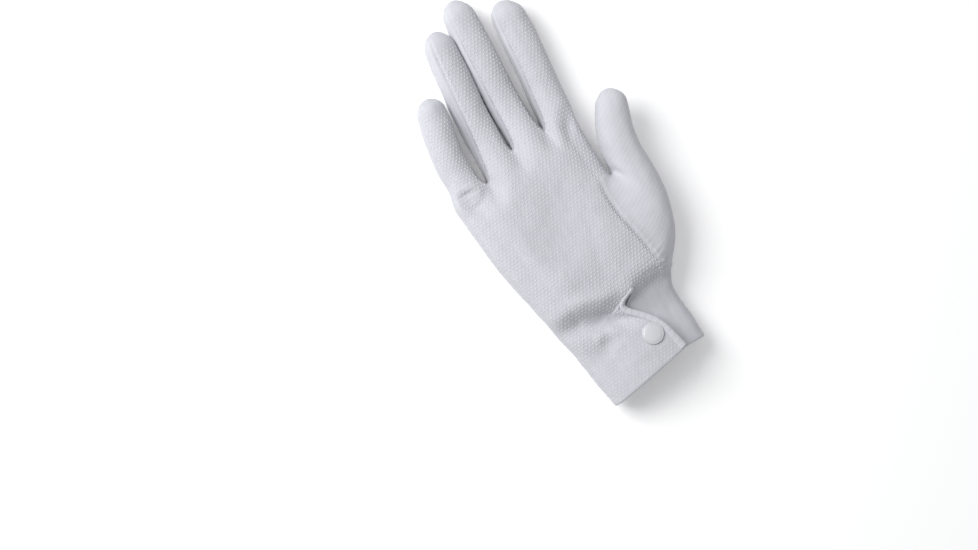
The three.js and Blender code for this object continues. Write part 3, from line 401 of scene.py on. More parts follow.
class Cage:
    """The glove's skin as named points and four-sided patches, each with the label of its sewn piece."""

    def __init__(self, size):
        self.size = size
        self.points = {}
        self.patches = []
        self.flat = {}
        self.lengths = [size.little_length, size.ring_length, size.middle_length, size.index_length]
        self.widths = [size.little_width, size.ring_width, size.middle_width, size.index_width]
        roots = [w * pose["flare"] + size.finger_gap for w, pose in zip(self.widths, FINGER_POSES)]
        self.knuckle_width = sum(roots) - size.finger_gap
        self.root_edges = [sum(roots[:k]) / sum(roots) for k in range(FINGERS + 1)]
        self.slit = SLIT_COLUMN / COLUMNS
        self.vent_top = size.vent_length / size.hand_length
        crotch = size.thumb_crotch / size.hand_length
        self.rings = [lerp(0, self.vent_top, i / CUFF_RINGS) for i in range(CUFF_RINGS)]
        self.rings += [lerp(self.vent_top, crotch, i / OPENING_RINGS) for i in range(OPENING_RINGS)]
        self.rings += [lerp(crotch, 1, i / KNUCKLE_RINGS) for i in range(KNUCKLE_RINGS + 1)]
        hem = size.hem_depth / size.hand_length
        self.hem_ring = round(hem / (self.vent_top / CUFF_RINGS))
        self.rings[self.hem_ring] = hem
        self.lay_hand_points()
        self.lay_hand_patches()
        self.lay_crotches()
        for i in range(FINGERS):
            self.lay_finger(i)
        self.lay_thumb()

    def section(self, column, v):
        return sample(HAND_SECTIONS, column, v) * self.knuckle_width

    def thickness(self, v):
        return sample(HAND_SECTIONS, "thick", v) * self.size.hand_thickness

    def column_x(self, u, v, left, right):
        """A column's place across a sheet: even at the wrist, in line with the fingers at the knuckles."""
        column = u * FINGERS
        finger = min(int(column), FINGERS - 1)
        start = left if finger == 0 else self.knuckle_width * (self.root_edges[finger] - 0.5)
        at_last = finger == FINGERS - 1
        end = right if at_last else self.knuckle_width * (self.root_edges[finger + 1] - 0.5)
        return lerp(lerp(left, right, u), lerp(start, end, column - finger), smoothstep(v, 0.3, 1))

    def sheet_left(self, v):
        return self.section("little", v) + self.corner_inset(v)

    def back_x(self, u, v):
        return self.column_x(u, v, self.sheet_left(v), self.section("back_seam", v))

    def palm_x(self, u, v, flap):
        """Across the palm. flap is the sheet beside the vent that a place belongs to."""
        left, right = self.sheet_left(v), self.section("palm_seam", v)
        if v >= self.vent_top:
            return self.column_x(u, v, left, right)
        edge = lerp(left, right, self.slit)
        edge += sample(VENT_EDGES, flap, v / self.vent_top) * self.size.flap_overlap
        if flap == "upper":
            return lerp(left, edge, u / self.slit)
        return lerp(edge, right, (u - self.slit) / (1 - self.slit))

    def cuff_line(self, x):
        """The cuff edge: straight from the upper flap's corner to the little finger's side, then level."""
        corner = self.palm_x(self.slit, 0, "upper")
        return -self.size.cuff_slant * max(0, (corner - x) / (corner - self.section("little", 0)))

    def cuff_share(self, v):
        return 1 - smoothstep(v, 0.5 * self.vent_top, self.vent_top)

    def up_hand(self, u, v, start):
        """Up the hand. start is where the place's column starts across the cuff."""
        even = -self.size.cuff_slant * (1 - min(1, u / 0.85))
        cuff = lerp(even, self.cuff_line(start), self.cuff_share(v))
        knuckles = self.size.hand_length + self.size.knuckle_arch * sample(KNUCKLE_LINE, "reach", u)
        return lerp(cuff, knuckles, v)

    def cup(self, u, v):
        return self.size.cup_lift * (1 - u) ** 2 * smoothstep(v, 0.25, 1)

    def bed(self, v):
        return self.size.point_bed * smoothstep(v, 0.3, 0.42)

    def corner_inset(self, v):
        return lerp(0.4, 0.12, smoothstep(v, 0.82, 1)) * self.thickness(v)

    def crown(self, u, v):
        return 1 - lerp(0.14, 0.24, smoothstep(v, 0.82, 1)) * abs(2 * u - 1) ** 3

    def web(self, u, v):
        full = abs(math.sin(math.pi * u * FINGERS))
        inside = 0.01 < u < 0.99
        return self.size.web_dip * (1 - full) * inside * smoothstep(v, 0.88, 1)

    def folds(self, u, v):
        at = Vector((u * self.knuckle_width, v * self.size.hand_length))
        height = 0
        for fold in PALM_FOLDS:
            start = Vector((fold["x0"] * self.knuckle_width, fold["y0"] * self.size.hand_length))
            end = Vector((fold["x1"] * self.knuckle_width, fold["y1"] * self.size.hand_length))
            line = end - start
            away = (at - start - line * clamp((at - start).dot(line) / line.length_squared)).length
            height += fold["height"] * math.exp(-((away / (fold["width"] * self.size.hand_thickness)) ** 2))
        return height * self.size.hand_thickness

    def palm_point(self, u, v, flap):
        z = self.bed(v) + self.thickness(v) * self.crown(u, v) + self.cup(u, v) - self.web(u, v)
        z += self.folds(u, v)
        if v < self.vent_top and flap == "lower":
            share = (u - self.slit) / (1 - self.slit)
            drop = self.size.flap_drop * sample(VENT_EDGES, "drop", v / self.vent_top)
            z -= drop * (1 - FLAP_RISE * share**2)
        return Vector((self.palm_x(u, v, flap), self.up_hand(u, v, self.palm_x(u, 0, flap)), z))

    def back_point(self, u, v):
        edge = 0.5 * (1 - self.crown(u, v)) * self.thickness(v) * smoothstep(abs(2 * u - 1), 0.4, 1)
        z = self.bed(v) + self.cup(u, v) + self.web(u, v) + edge
        return Vector((self.back_x(u, v), self.up_hand(u, v, self.back_x(u, 0)), z))

    def lay_side(self, kind, side, ring, top, foot):
        """The round side of the hand between its two sheets. side names the outline."""
        v = self.rings[ring]
        for j in range(1, SIDE):
            angle = math.pi * j / SIDE
            point = top.lerp(foot, (1 - math.cos(angle)) / 2)
            inner = point.x
            point.x = lerp(inner, self.section(side, v), math.sin(angle) ** ROUNDNESS)
            point.y += (self.cuff_line(point.x) - self.cuff_line(inner)) * self.cuff_share(v) * (1 - v)
            self.points[kind, j, ring] = point

    def lay_hand_points(self):
        for r, v in enumerate(self.rings):
            for c in range(COLUMNS + 1):
                u = c / COLUMNS
                if r < OPENING_START and c == SLIT_COLUMN:
                    self.points["low", c, r] = self.palm_point(u, v, "lower")
                self.points["P", c, r] = self.palm_point(u, v, "upper" if c <= SLIT_COLUMN else "lower")
                self.points["B", c, r] = self.back_point(u, v)
            self.lay_side("L", "little", r, self.points["P", 0, r], self.points["B", 0, r])
            if not OPENING_START < r < OPENING_END:
                self.lay_side("R", "thumb", r, self.points["P", COLUMNS, r], self.points["B", COLUMNS, r])

    def hand_ring(self, r):
        """The names round the hand, from the little finger's side over the palm and back under."""
        low = "low" if r < OPENING_START else "P"
        names = [("P", c, r) for c in range(SLIT_COLUMN + 1)]
        names += [(low, SLIT_COLUMN, r)]
        names += [("P", c, r) for c in range(SLIT_COLUMN + 1, COLUMNS + 1)]
        names += [("R", j, r) for j in range(1, SIDE)]
        names += [("B", c, r) for c in range(COLUMNS, -1, -1)]
        return names + [("L", j, r) for j in range(SIDE - 1, 0, -1)]

    def lay_hand_patches(self):
        half = SIDE // 2
        labels = ["palm"] * SLIT_COLUMN + [None] + ["palm"] * (COLUMNS - SLIT_COLUMN + half)
        labels += ["back"] * (COLUMNS + SIDE) + ["palm"] * half
        for r in range(LAST_RING):
            near, far = self.hand_ring(r), self.hand_ring(r + 1)
            for j, label in enumerate(labels):
                at_opening = OPENING_START <= r < OPENING_END and COLUMNS < j <= COLUMNS + SIDE
                if label and not at_opening:
                    k = (j + 1) % len(labels)
                    lower = r < OPENING_START and SLIT_COLUMN < j <= COLUMNS + half
                    self.patch([near[j], near[k], far[k], far[j]], label, r, lower)
        for r in range(LAST_RING + 1):
            self.flatten_hand_ring(r)

    def patch(self, corners, label, ring=None, lower=False):
        self.patches.append({"corners": corners, "label": label, "ring": ring, "lower": lower})

    def flatten(self, label, names, middle, across, along, way=1):
        """Lays a run of points on the flat cloth: across by distance, along by place."""
        for step in (1, -1):
            run = across
            k = middle
            while 0 <= k < len(names):
                point = self.points[names[k]]
                if k != middle:
                    last = self.points[names[k - step]]
                    run += way * step * math.hypot(point.x - last.x, point.z - last.z)
                self.flat.setdefault((label, names[k]), (run, along if along is not None else point.y))
                k += step

    def flatten_hand_ring(self, r):
        half = SIDE // 2
        left = [("L", j, r) for j in range(half, 0, -1)]
        right = [("R", j, r) for j in range(1, half + 1)] if ("R", 1, r) in self.points else []
        palm = left + [("P", c, r) for c in range(COLUMNS + 1)] + right
        middle = half + COLUMNS // 2
        if r < OPENING_START:
            self.flatten("palm", palm[: half + SLIT_COLUMN + 1], middle, self.points[palm[middle]].x, None)
            lower = [("low", SLIT_COLUMN, r)] + palm[half + SLIT_COLUMN + 1 :]
            corner = COLUMNS - SLIT_COLUMN
            self.flatten("palm", lower, corner, self.points[lower[corner]].x, None)
        else:
            self.flatten("palm", palm, middle, self.points[palm[middle]].x, None)
        left = [("L", j, r) for j in range(half, SIDE)]
        right = [("R", j, r) for j in range(SIDE - 1, half - 1, -1)] if right else []
        back = left + [("B", c, r) for c in range(COLUMNS + 1)] + right
        self.flatten("back", back, middle, self.points[back[middle]].x, None)

    def lay_crotches(self):
        for k in range(1, FINGERS):
            top, foot = self.points["P", k * ACROSS, LAST_RING], self.points["B", k * ACROSS, LAST_RING]
            for j in range(1, SIDE):
                point = top.lerp(foot, j / SIDE)
                point.y -= CROTCH_SAG * math.sin(math.pi * j / SIDE)
                self.points["C", k, j] = point

    def tube_ring(self, kind, k, centre, side, up, width, thick, count, span):
        """A ring of a finger or the thumb: over its palm face, down, back under and up."""
        angles = [lerp(-span, span, j / count) for j in range(count)]
        angles += [lerp(span, math.pi - span, j / SIDE) for j in range(SIDE)]
        angles += [lerp(math.pi - span, math.pi + span, j / count) for j in range(count)]
        angles += [lerp(math.pi + span, 2 * math.pi - span, j / SIDE) for j in range(SIDE)]
        names = []
        for j, angle in enumerate(angles):
            out = side * (width / 2 * signed_power(math.sin(angle), ROUNDNESS))
            point = centre + out + up * (thick / 2 * signed_power(math.cos(angle), ROUNDNESS))
            point.z = max(point.z, 0)
            self.points[kind, k, j] = point
            names.append((kind, k, j))
        return names

    def join_rings(self, near, far, labels):
        for j in range(len(near)):
            k = (j + 1) % len(near)
            self.patch([near[j], near[k], far[k], far[j]], labels[j])

    def close_tip(self, kind, ring, count, tip, label_of_row):
        """Closes a tube's last ring with a dome that reaches the tip."""
        centre = sum((self.points[name] for name in ring), Vector()) / len(ring)
        reach = (tip - centre) * DOME_REACH

        def name_at(row, column):
            if row == 0:
                return ring[column]
            if column == count:
                return ring[count + row]
            if row == SIDE:
                return ring[2 * count + SIDE - column]
            return ring[len(ring) - row] if column == 0 else (kind, "dome", row, column)

        for row in range(1, SIDE):
            for column in range(1, count):
                s, t = 2 * column / count - 1, 2 * row / SIDE - 1
                left, right = self.points[name_at(row, 0)], self.points[name_at(row, count)]
                top, foot = self.points[name_at(0, column)], self.points[name_at(SIDE, column)]
                flat = left.lerp(right, column / count) + top.lerp(foot, row / SIDE)
                point = flat / 2 + reach * ((1 - s * s) * (1 - t * t)) ** DOME_FALL
                point.z = max(point.z, 0)
                self.points[name_at(row, column)] = point
        for row in range(SIDE):
            label = label_of_row(row)
            for column in range(count):
                corners = [(row, column), (row, column + 1), (row + 1, column + 1), (row + 1, column)]
                names = [name_at(*corner) for corner in corners]
                self.patch(names, label)
                self.flatten_tip(label, names, ring, count, centre)

    def flatten_tip(self, label, names, ring, count, centre):
        """Lays a dome's inner points on the flat cloth beyond the last ring."""
        middle = count + SIDE + count // 2 if label == "back" else count // 2
        start = self.flat.get((label, ring[middle]))
        for name in names:
            if start and (label, name) not in self.flat:
                column = name[3] if name[1] == "dome" else count / 2
                across = (column / count - 0.5) * TIP_SPREAD * self.size.finger_thickness
                along = (self.points[name] - centre).length
                self.flat[label, name] = (start[0] + across, start[1] + along)

    def lay_finger(self, i):
        size, pose = self.size, FINGER_POSES[i]
        first = i * ACROSS
        base = [("P", c, LAST_RING) for c in range(first, first + ACROSS + 1)]
        if i == FINGERS - 1:
            base += [("R", j, LAST_RING) for j in range(1, SIDE)]
        else:
            base += [("C", i + 1, j) for j in range(1, SIDE)]
        base += [("B", c, LAST_RING) for c in range(first + ACROSS, first - 1, -1)]
        if i == 0:
            base += [("L", j, LAST_RING) for j in range(SIDE - 1, 0, -1)]
        else:
            base += [("C", i, j) for j in range(SIDE - 1, 0, -1)]
        root = sum((self.points[name] for name in base), Vector()) / len(base)
        edges = [self.knuckle_width * (edge - 0.5) for edge in self.root_edges]
        edges[0], edges[-1] = self.section("little", 1), self.section("thumb", 1)
        root.x = (edges[i] + edges[i + 1]) / 2
        lean = math.radians(pose["lean"])
        forward = Vector((math.sin(lean), math.cos(lean), 0))
        flat_side = Vector((math.cos(lean), -math.sin(lean), 0))

        def centre_at(at):
            lift = lerp(pose["lift"], pose["curl"], at**1.6 if at > 0 else 0) * size.finger_thickness
            thick = sample(FINGER_SECTIONS, "thick", at) * size.finger_thickness
            bow = pose["bow"] * self.widths[i] * math.sin(math.pi * max(at, 0) ** 0.8)
            centre = root + forward * (at * self.lengths[i]) + flat_side * bow
            centre.z = lerp(root.z, 0.48 * thick + lift, smoothstep(at, 0, 0.3))
            return centre

        def side_label(k, half):
            return half if k in (0, FINGERS) else f"fourchette_{k}"

        half = SIDE // 2
        labels = ["palm"] * ACROSS + [side_label(i + 1, "palm")] * half + [side_label(i + 1, "back")] * half
        labels += ["back"] * ACROSS + [side_label(i, "back")] * half + [side_label(i, "palm")] * half
        self.flatten_finger(i, base, None)
        previous = base
        for k, row in enumerate(FINGER_SECTIONS[1:]):
            centre = centre_at(row["at"])
            along = (centre_at(min(row["at"] + 0.02, 1)) - centre_at(row["at"] - 0.02)).normalized()
            roll = math.radians(pose["roll"]) * smoothstep(row["at"], 0, 0.35)
            across = Quaternion(along, roll) @ flat_side
            up = across.cross(along).normalized()
            width, thick = row["width"] * self.widths[i], row["thick"] * size.finger_thickness
            ring = self.tube_ring(f"F{i}", k, centre, across, up, width, thick, ACROSS, PALM_FACE_ANGLE)
            self.join_rings(previous, ring, labels)
            self.flatten_finger(i, ring, row["at"] * self.lengths[i])
            previous = ring
        tip = centre_at(1)
        self.close_tip(f"F{i}", previous, ACROSS, tip, lambda row: "palm" if row < half else "back")

    def flatten_finger(self, i, ring, along):
        """Lays a finger's ring on the flat cloth of the palm, the back and the fourchettes beside it."""
        half = SIDE // 2
        count = len(ring)
        root_palm = self.flat["palm", ("P", i * ACROSS + ACROSS // 2, LAST_RING)]
        root_back = self.flat["back", ("B", i * ACROSS + ACROSS // 2, LAST_RING)]

        def place(root):
            return None if along is None else root[1] + along

        palm = [ring[j % count] for j in range(-half, ACROSS + half + 1)]
        self.flatten("palm", palm, half + ACROSS // 2, root_palm[0], place(root_palm))
        back = [ring[j % count] for j in range(ACROSS + half, 2 * ACROSS + SIDE + half + 1)]
        self.flatten("back", back, half + ACROSS // 2, root_back[0], place(root_back), -1)
        right = [ring[j] for j in range(ACROSS, ACROSS + SIDE + 1)]
        self.flatten(f"fourchette_{i + 1}", right, 0, 0, place(root_palm))
        left = [ring[j % count] for j in range(2 * ACROSS + SIDE, count + 1)]
        self.flatten(f"fourchette_{i}", left, SIDE, 0, place(root_palm))

    def lay_thumb(self):
        size = self.size
        base = [("P", COLUMNS, r) for r in range(OPENING_END, OPENING_START - 1, -1)]
        base += [("R", j, OPENING_START) for j in range(1, SIDE)]
        base += [("B", COLUMNS, r) for r in range(OPENING_START, OPENING_END + 1)]
        base += [("R", j, OPENING_END) for j in range(SIDE - 1, 0, -1)]
        crotch = self.points["R", SIDE // 2, OPENING_END]
        opening = (crotch - self.points["R", SIDE // 2, OPENING_START]).length
        labels = ["thumb"] * len(base)
        previous = base
        for k, row in enumerate(THUMB_SECTIONS):
            turn = math.radians(row["turn"])
            across = Vector((math.cos(turn), math.sin(turn), 0))
            width = row["base"] * opening + row["wide"] * size.thumb_width
            x = crotch.x + row["out"] * size.thumb_width
            y = crotch.y + row["up"] * size.thumb_length
            centre = Vector((x, y, 0)) + across * (width / 2)
            centre.z = crotch.z + row["lift"] * size.thumb_lift
            thick = row["thick"] * size.thumb_thickness
            up = Vector((0, 0, 1))
            ring = self.tube_ring("T", k, centre, across, up, width, thick, OPENING_RINGS, THUMB_FACE_ANGLE)
            self.join_rings(previous, ring, labels)
            previous = ring
        tip = centre.copy()
        tip.y = crotch.y + size.thumb_length
        self.close_tip("T", previous, OPENING_RINGS, tip, lambda row: "thumb")
        cosine, sine = math.cos(THUMB_GRAIN), math.sin(THUMB_GRAIN)
        for corners in (p["corners"] for p in self.patches if p["label"] == "thumb"):
            for name in corners:
                point = self.points[name]
                across = point.y * cosine - point.x * sine
                self.flat["thumb", name] = (across, point.x * cosine + point.y * sine)


LABELS = ["palm", "back", "thumb", "fourchette_1", "fourchette_2", "fourchette_3"]
CAD_NODES = dict(zip(LABELS, LABELS[:3]))
CAD_NODES.update(
    fourchette_1="fourchette_ring_little",
    fourchette_2="fourchette_middle_ring",
    fourchette_3="fourchette_index_middle",
)


def quad_normals(places, quads):
    """Outward directions at the points of a quad mesh."""
    a, b, c, d = (places[quads[:, k]] for k in range(4))
    facing = np.cross(c - a, d - b)
    normals = np.zeros_like(places)
    for k in range(4):
        np.add.at(normals, quads[:, k], facing)
    return normals / np.maximum(np.linalg.norm(normals, axis=1, keepdims=True), 1e-12)


class Skin:
    """The smooth skin: its plain surface, its dressed surface with seams, puckers and creases, and which
    sewn piece each small face belongs to."""

    def __init__(self, size):
        self.size = size
        self.cage = Cage(size)
        self.smooth()
        self.move_to_frame()
        self.find_seams()
        self.dress()

    def smooth(self):
        cage = self.cage
        names = list(cage.points)
        number = {name: n for n, name in enumerate(names)}
        target = np.array([cage.points[name] for name in names])
        faces = [[number[name] for name in p["corners"]] for p in cage.patches]
        mesh = bpy.data.meshes.new("skin_cage")
        mesh.from_pydata(target.tolist(), [], faces)
        flat = mesh.uv_layers.new(name="cloth")
        places = []
        for p in cage.patches:
            shift = LOWER_FLAP_SHIFT if p["lower"] else 0
            for name in p["corners"]:
                across, along = cage.flat[p["label"], name]
                places += [across + shift, along]
        flat.data.foreach_set("uv", places)
        mesh.attributes.new("patch", "INT", "FACE").data.foreach_set("value", list(range(len(faces))))
        holder = bpy.data.objects.new("skin_cage", mesh)
        bpy.context.scene.collection.objects.link(holder)
        levels = self.size.smoothing
        smooth = holder.modifiers.new("smooth", "SUBSURF")
        smooth.levels = smooth.render_levels = levels
        smooth.uv_smooth = "NONE"
        smooth.boundary_smooth = "PRESERVE_CORNERS"
        bent = target.copy()
        for _ in range(FIT_PASSES):
            bent += target - self.places_of(self.evaluated(holder))[: len(names)]
            mesh.vertices.foreach_set("co", bent.ravel())
            mesh.update()
        fine = self.evaluated(holder)
        self.plain = self.places_of(fine)
        corners = np.empty(len(fine.loops), int)
        fine.loops.foreach_get("vertex_index", corners)
        self.quads = corners.reshape(-1, 4)
        flat = np.empty(len(fine.loops) * 2)
        fine.uv_layers["cloth"].data.foreach_get("uv", flat)
        self.flat = flat.reshape(-1, 4, 2)
        patch = np.empty(len(fine.polygons), int)
        fine.attributes["patch"].data.foreach_get("value", patch)
        self.label = np.array([LABELS.index(p["label"]) for p in cage.patches])[patch]
        self.ring = np.array([-1 if p["ring"] is None else p["ring"] for p in cage.patches])[patch]
        self.lower = np.array([p["lower"] for p in cage.patches])[patch]
        bpy.data.objects.remove(holder)
        bpy.data.meshes.remove(mesh)

    def places_of(self, mesh):
        got = np.empty(len(mesh.vertices) * 3)
        mesh.vertices.foreach_get("co", got)
        return got.reshape(-1, 3)

    def evaluated(self, holder):
        holder.update_tag()
        depsgraph = bpy.context.evaluated_depsgraph_get()
        depsgraph.update()
        return bpy.data.meshes.new_from_object(holder.evaluated_get(depsgraph), depsgraph=depsgraph)

    def move_to_frame(self):
        """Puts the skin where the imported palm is: its middle across, its cuff edge along."""
        low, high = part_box("palm")
        palm = self.plain[np.unique(self.quads[self.label == 0])]
        across = (low[0] + high[0] - palm[:, 0].min() - palm[:, 0].max()) / 2
        self.offset = np.array([across, low[1] - palm[:, 1].min(), 0])
        self.plain = self.plain + self.offset
        self.normals = quad_normals(self.plain, self.quads)

    def find_seams(self):
        """Lists the open edges, the seams where two pieces meet, and the edges where two rings meet."""
        count = len(self.plain)
        starts = self.quads.ravel()
        ends = np.roll(self.quads, -1, axis=1).ravel()
        face = np.repeat(np.arange(len(self.quads)), 4)
        forward = {key: f for key, f in zip((starts * count + ends).tolist(), face.tolist())}
        self.seams = []
        self.edges = []
        self.rings_met = []
        for key, f in forward.items():
            a, b = divmod(key, count)
            other = forward.get(b * count + a)
            if other is None:
                self.edges.append((a, b, f))
            elif f < other and self.label[f] != self.label[other]:
                self.seams.append((a, b, f, other))
            elif f < other and self.ring[f] != self.ring[other]:
                self.rings_met.append((a, b, f, other))

    def seam_points(self, first, second):
        """Points of the seams between pieces whose labels are in the two sets."""
        found = set()
        for a, b, f, g in self.seams:
            one, two = LABELS[self.label[f]], LABELS[self.label[g]]
            if (one in first and two in second) or (one in second and two in first):
                found.update((a, b))
        return sorted(found)

    def nearest(self, members):
        """For every point, the distance in millimetres to the nearest of the members, and which it is."""
        tree = KDTree(len(members))
        for n, member in enumerate(members):
            tree.insert(self.plain[member], n)
        tree.balance()
        found = [tree.find(place) for place in self.plain]
        return np.array([f[2] for f in found]) / MM, np.array([members[f[1]] for f in found])

    def from_tips(self, places):
        """How far places in millimetres are from the nearest fingertip."""
        cage = self.cage
        tips = [cage.points[f"F{i}", "dome", SIDE // 2, ACROSS // 2] / MM for i in range(FINGERS)]
        return np.min([np.linalg.norm(places - np.array(tip), axis=1) for tip in tips], axis=0)

    def dress(self):
        """The dressed surface: slack of the cloth, sewn seams, the thumb's ridge and the creases."""
        places = (self.plain - self.offset) / MM
        slack = np.array([noise.fractal(Vector(p) / SLACK_LENGTH, 1.0, 2.0, 3) for p in places])
        fine = np.array([noise.noise(Vector(p) / FINE_SLACK_LENGTH + FINE_SLACK_START) for p in places])
        lift = SLACK_HEIGHT * slack + FINE_SLACK_HEIGHT * fine
        lift += self.sewn_seams(places, slack)
        lift += self.thumb_ridge(places)
        lift += self.creases(places)
        self.dressed = self.plain + self.normals * (lift * MM)[:, None]
        self.dressed[:, 2] = np.maximum(self.dressed[:, 2], LOWEST_CLOTH)
        self.dressed_normals = quad_normals(self.dressed, self.quads)

    def sewn_seams(self, places, slack):
        """Grooves of the seams between palm, back and fourchettes, with their gathers."""
        sheets = {name for name in LABELS if name != "thumb"}
        away, member = self.nearest(self.seam_points(sheets, sheets))
        run = places[member, 1] + 0.6 * places[member, 0]
        phase = 2 * math.pi * run / GATHER_PITCH + 2.2 * slack[member]
        gathers = GATHER_HEIGHT * np.sin(phase) + FINE_GATHER_HEIGHT * np.sin(FINE_GATHER_RATE * phase)
        groove = -GROOVE_DEPTH * np.exp(-away / GROOVE_WIDTH)
        swell = SWELL_HEIGHT * bell(away - SWELL_PLACE, SWELL_WIDTH)
        gathers *= np.exp(-away / GATHER_REACH) * (1 - np.exp(-away / 0.6))
        near, far = SEAM_FADE
        fade = np.clip((self.from_tips(places) - near) / (far - near), SEAM_AT_TIP, 1)
        return (groove + swell + gathers) * fade

    def thumb_ridge(self, places):
        """The raised seam round the thumb, with its gathers."""
        away, member = self.nearest(self.seam_points({"thumb"}, {"palm", "back"}))
        self.from_thumb_seam = away
        run = places[member, 1] + 0.8 * places[member, 0]
        wrist = bell(places[member, 1] - WRIST_PLACE, WRIST_WIDTH)
        gathers = THUMB_GATHER_HEIGHT + WRIST_GATHER_HEIGHT * wrist
        gathers *= np.sin(2 * math.pi * run / THUMB_GATHER_PITCH)
        gathers *= np.exp(-away / (THUMB_GATHER_REACH + WRIST_GATHER_REACH * wrist))
        return RIDGE_HEIGHT * bell(away, RIDGE_WIDTH) + gathers

    def creases(self, places):
        """Small creases of the side that faces up."""
        above = np.clip(1.6 * self.normals[:, 2] - 0.5, 0, 1)
        lift = np.zeros(len(places))
        for crease in CREASES:
            start = np.array([crease["x0"], crease["y0"]])
            line = np.array([crease["x1"], crease["y1"]]) - start
            from_start = places[:, :2] - start
            share = np.clip(from_start @ line / (line @ line), 0, 1)
            gap = np.linalg.norm(from_start - share[:, None] * line, axis=1)
            ends = 0.35 + 0.65 * np.sin(math.pi * np.clip(share, 0.04, 0.96))
            lift += above * crease["height"] * ends * bell(gap, crease["width"])
        return lift

    def chains(self, pairs):
        """Joins edges into ordered runs of points."""
        links = {}
        for a, b in pairs:
            links.setdefault(a, []).append(b)
            links.setdefault(b, []).append(a)
        runs = []
        left = set(links)
        while left:
            ends = [p for p in left if len(links[p]) == 1]
            here = min(ends) if ends else min(left)
            run = [here]
            left.discard(here)
            while True:
                ahead = [p for p in links[here] if p in left]
                if not ahead:
                    break
                here = ahead[0]
                run.append(here)
                left.discard(here)
            runs.append(run)
        return runs


_made = {}


def skin():
    """The glove's skin, worked out once."""
    if "skin" not in _made:
        _made["skin"] = Skin(bpy.context.scene.glove_sizes)
    return _made["skin"]


def quad_mesh(name, places, faces, flat=None, sharp=50):
    """A smooth mesh from numpy arrays, with the cloth map if there is one."""
    mesh = bpy.data.meshes.new(name)
    mesh.from_pydata(np.asarray(places).tolist(), [], np.asarray(faces).tolist())
    if flat is not None:
        mesh.uv_layers.new(name="cloth").data.foreach_set("uv", np.asarray(flat).ravel())
    mesh.shade_smooth()
    if sharp:
        mesh.set_sharp_from_angle(angle=math.radians(sharp))
    return mesh


def shell_mesh(name, keep, outer, inner):
    """A closed wall between two surfaces over the skin's faces that are kept."""
    whole = skin()
    kept = whole.quads[keep]
    used, faces = np.unique(kept, return_inverse=True)
    faces = faces.reshape(-1, 4)
    flat = whole.flat[keep]
    count = len(used)
    directed = {(a, b) for face in faces.tolist() for a, b in zip(face, face[1:] + face[:1])}
    rim = [(b, a, a + count, b + count) for a, b in sorted(directed) if (b, a) not in directed]
    at_vertex = np.zeros((2 * count, 2))
    at_vertex[faces.ravel()] = flat.reshape(-1, 2)
    at_vertex[count:] = at_vertex[:count]
    rim = np.array(rim)
    places = np.concatenate([outer[used], inner[used]])
    every = np.concatenate([faces, faces[:, ::-1] + count, rim])
    maps = np.concatenate([flat, flat[:, ::-1], at_vertex[rim]])
    return quad_mesh(name, places, every, maps)


def rows_of_quads(rows, around):
    """The faces between rings of equally many points."""
    index = np.arange(rows * around).reshape(rows, around)
    near, far = index[:-1], index[1:]
    return np.stack([near, np.roll(near, -1, 1), np.roll(far, -1, 1), far], axis=-1).reshape(-1, 4).tolist()


def sweep_mesh(name, rings):
    """A closed tube through rings of points, with a cloth map that runs along it."""
    count, around = len(rings), len(rings[0])
    places = np.concatenate([np.array(ring) for ring in rings])
    mesh = bpy.data.meshes.new(name)
    caps = [list(range(around))[::-1], list(range((count - 1) * around, count * around))]
    mesh.from_pydata(places.tolist(), [], rows_of_quads(count, around) + caps)
    middle = np.array([np.mean(ring, axis=0) for ring in rings])
    along = np.concatenate([[0], np.cumsum(np.linalg.norm(np.diff(middle, axis=0), axis=1))])
    flat = mesh.uv_layers.new(name="cloth")
    places = []
    girth = 0.0012 * around
    for row in range(count - 1):
        for j in range(around):
            left, right = girth * j / around, girth * (j + 1) / around
            places += [along[row], left, along[row], right, along[row + 1], right, along[row + 1], left]
    places += [0.0] * (4 * around)
    flat.data.foreach_set("uv", places)
    mesh.shade_smooth()
    mesh.set_sharp_from_angle(angle=math.radians(55))
    return mesh


def place_piece(name, mesh, material, slot, *nodes):
    """Puts a finished mesh in the scene as a piece that rides on the glove."""
    thing = bpy.data.objects.new(name, mesh)
    bpy.context.scene.collection.objects.link(thing)
    mesh.materials.clear()
    mesh.materials.append(material)
    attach(thing, "root")
    if nodes:
        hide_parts(*nodes)


class Wire:
    """A socket of a node tree. Arithmetic on it adds Math nodes."""

    def __init__(self, tree, socket):
        self.tree = tree
        self.socket = socket

    def math(self, operation, *others):
        sockets = dict(enumerate([self, *others]))
        return self.tree.node("ShaderNodeMath", {"operation": operation}, sockets)

    def __add__(self, other):
        return self.math("ADD", other)

    def __mul__(self, other):
        return self.math("MULTIPLY", other)

    __radd__ = __add__
    __rmul__ = __mul__

    def __truediv__(self, other):
        return self.math("DIVIDE", other)

    def __pow__(self, other):
        return self.math("POWER", other)

    def sine(self):
        return self.math("SINE")

    def size(self):
        return self.math("ABSOLUTE")


class Tree:
    """A node tree that is wired by one method."""

    def __init__(self, nodes):
        self.nodes = nodes

    def node(self, kind, settings=None, sockets=None, out=0):
        made = self.nodes.nodes.new(kind)
        for key, value in (settings or {}).items():
            setattr(made, key, value)
        for key, value in (sockets or {}).items():
            if isinstance(value, Wire):
                self.nodes.links.new(value.socket, made.inputs[key])
            else:
                made.inputs[key].default_value = value
        return Wire(self, made.outputs[out]) if made.outputs else None


def finish(name, build):
    """The material of that name. The build function wires its nodes the first time."""
    if name not in _made:
        material = bpy.data.materials.new(name)
        material.use_nodes = True
        material.node_tree.nodes.clear()
        tree = Tree(material.node_tree)
        tree.node("ShaderNodeOutputMaterial", {}, {"Surface": build(tree)})
        _made[name] = material
    return _made[name]


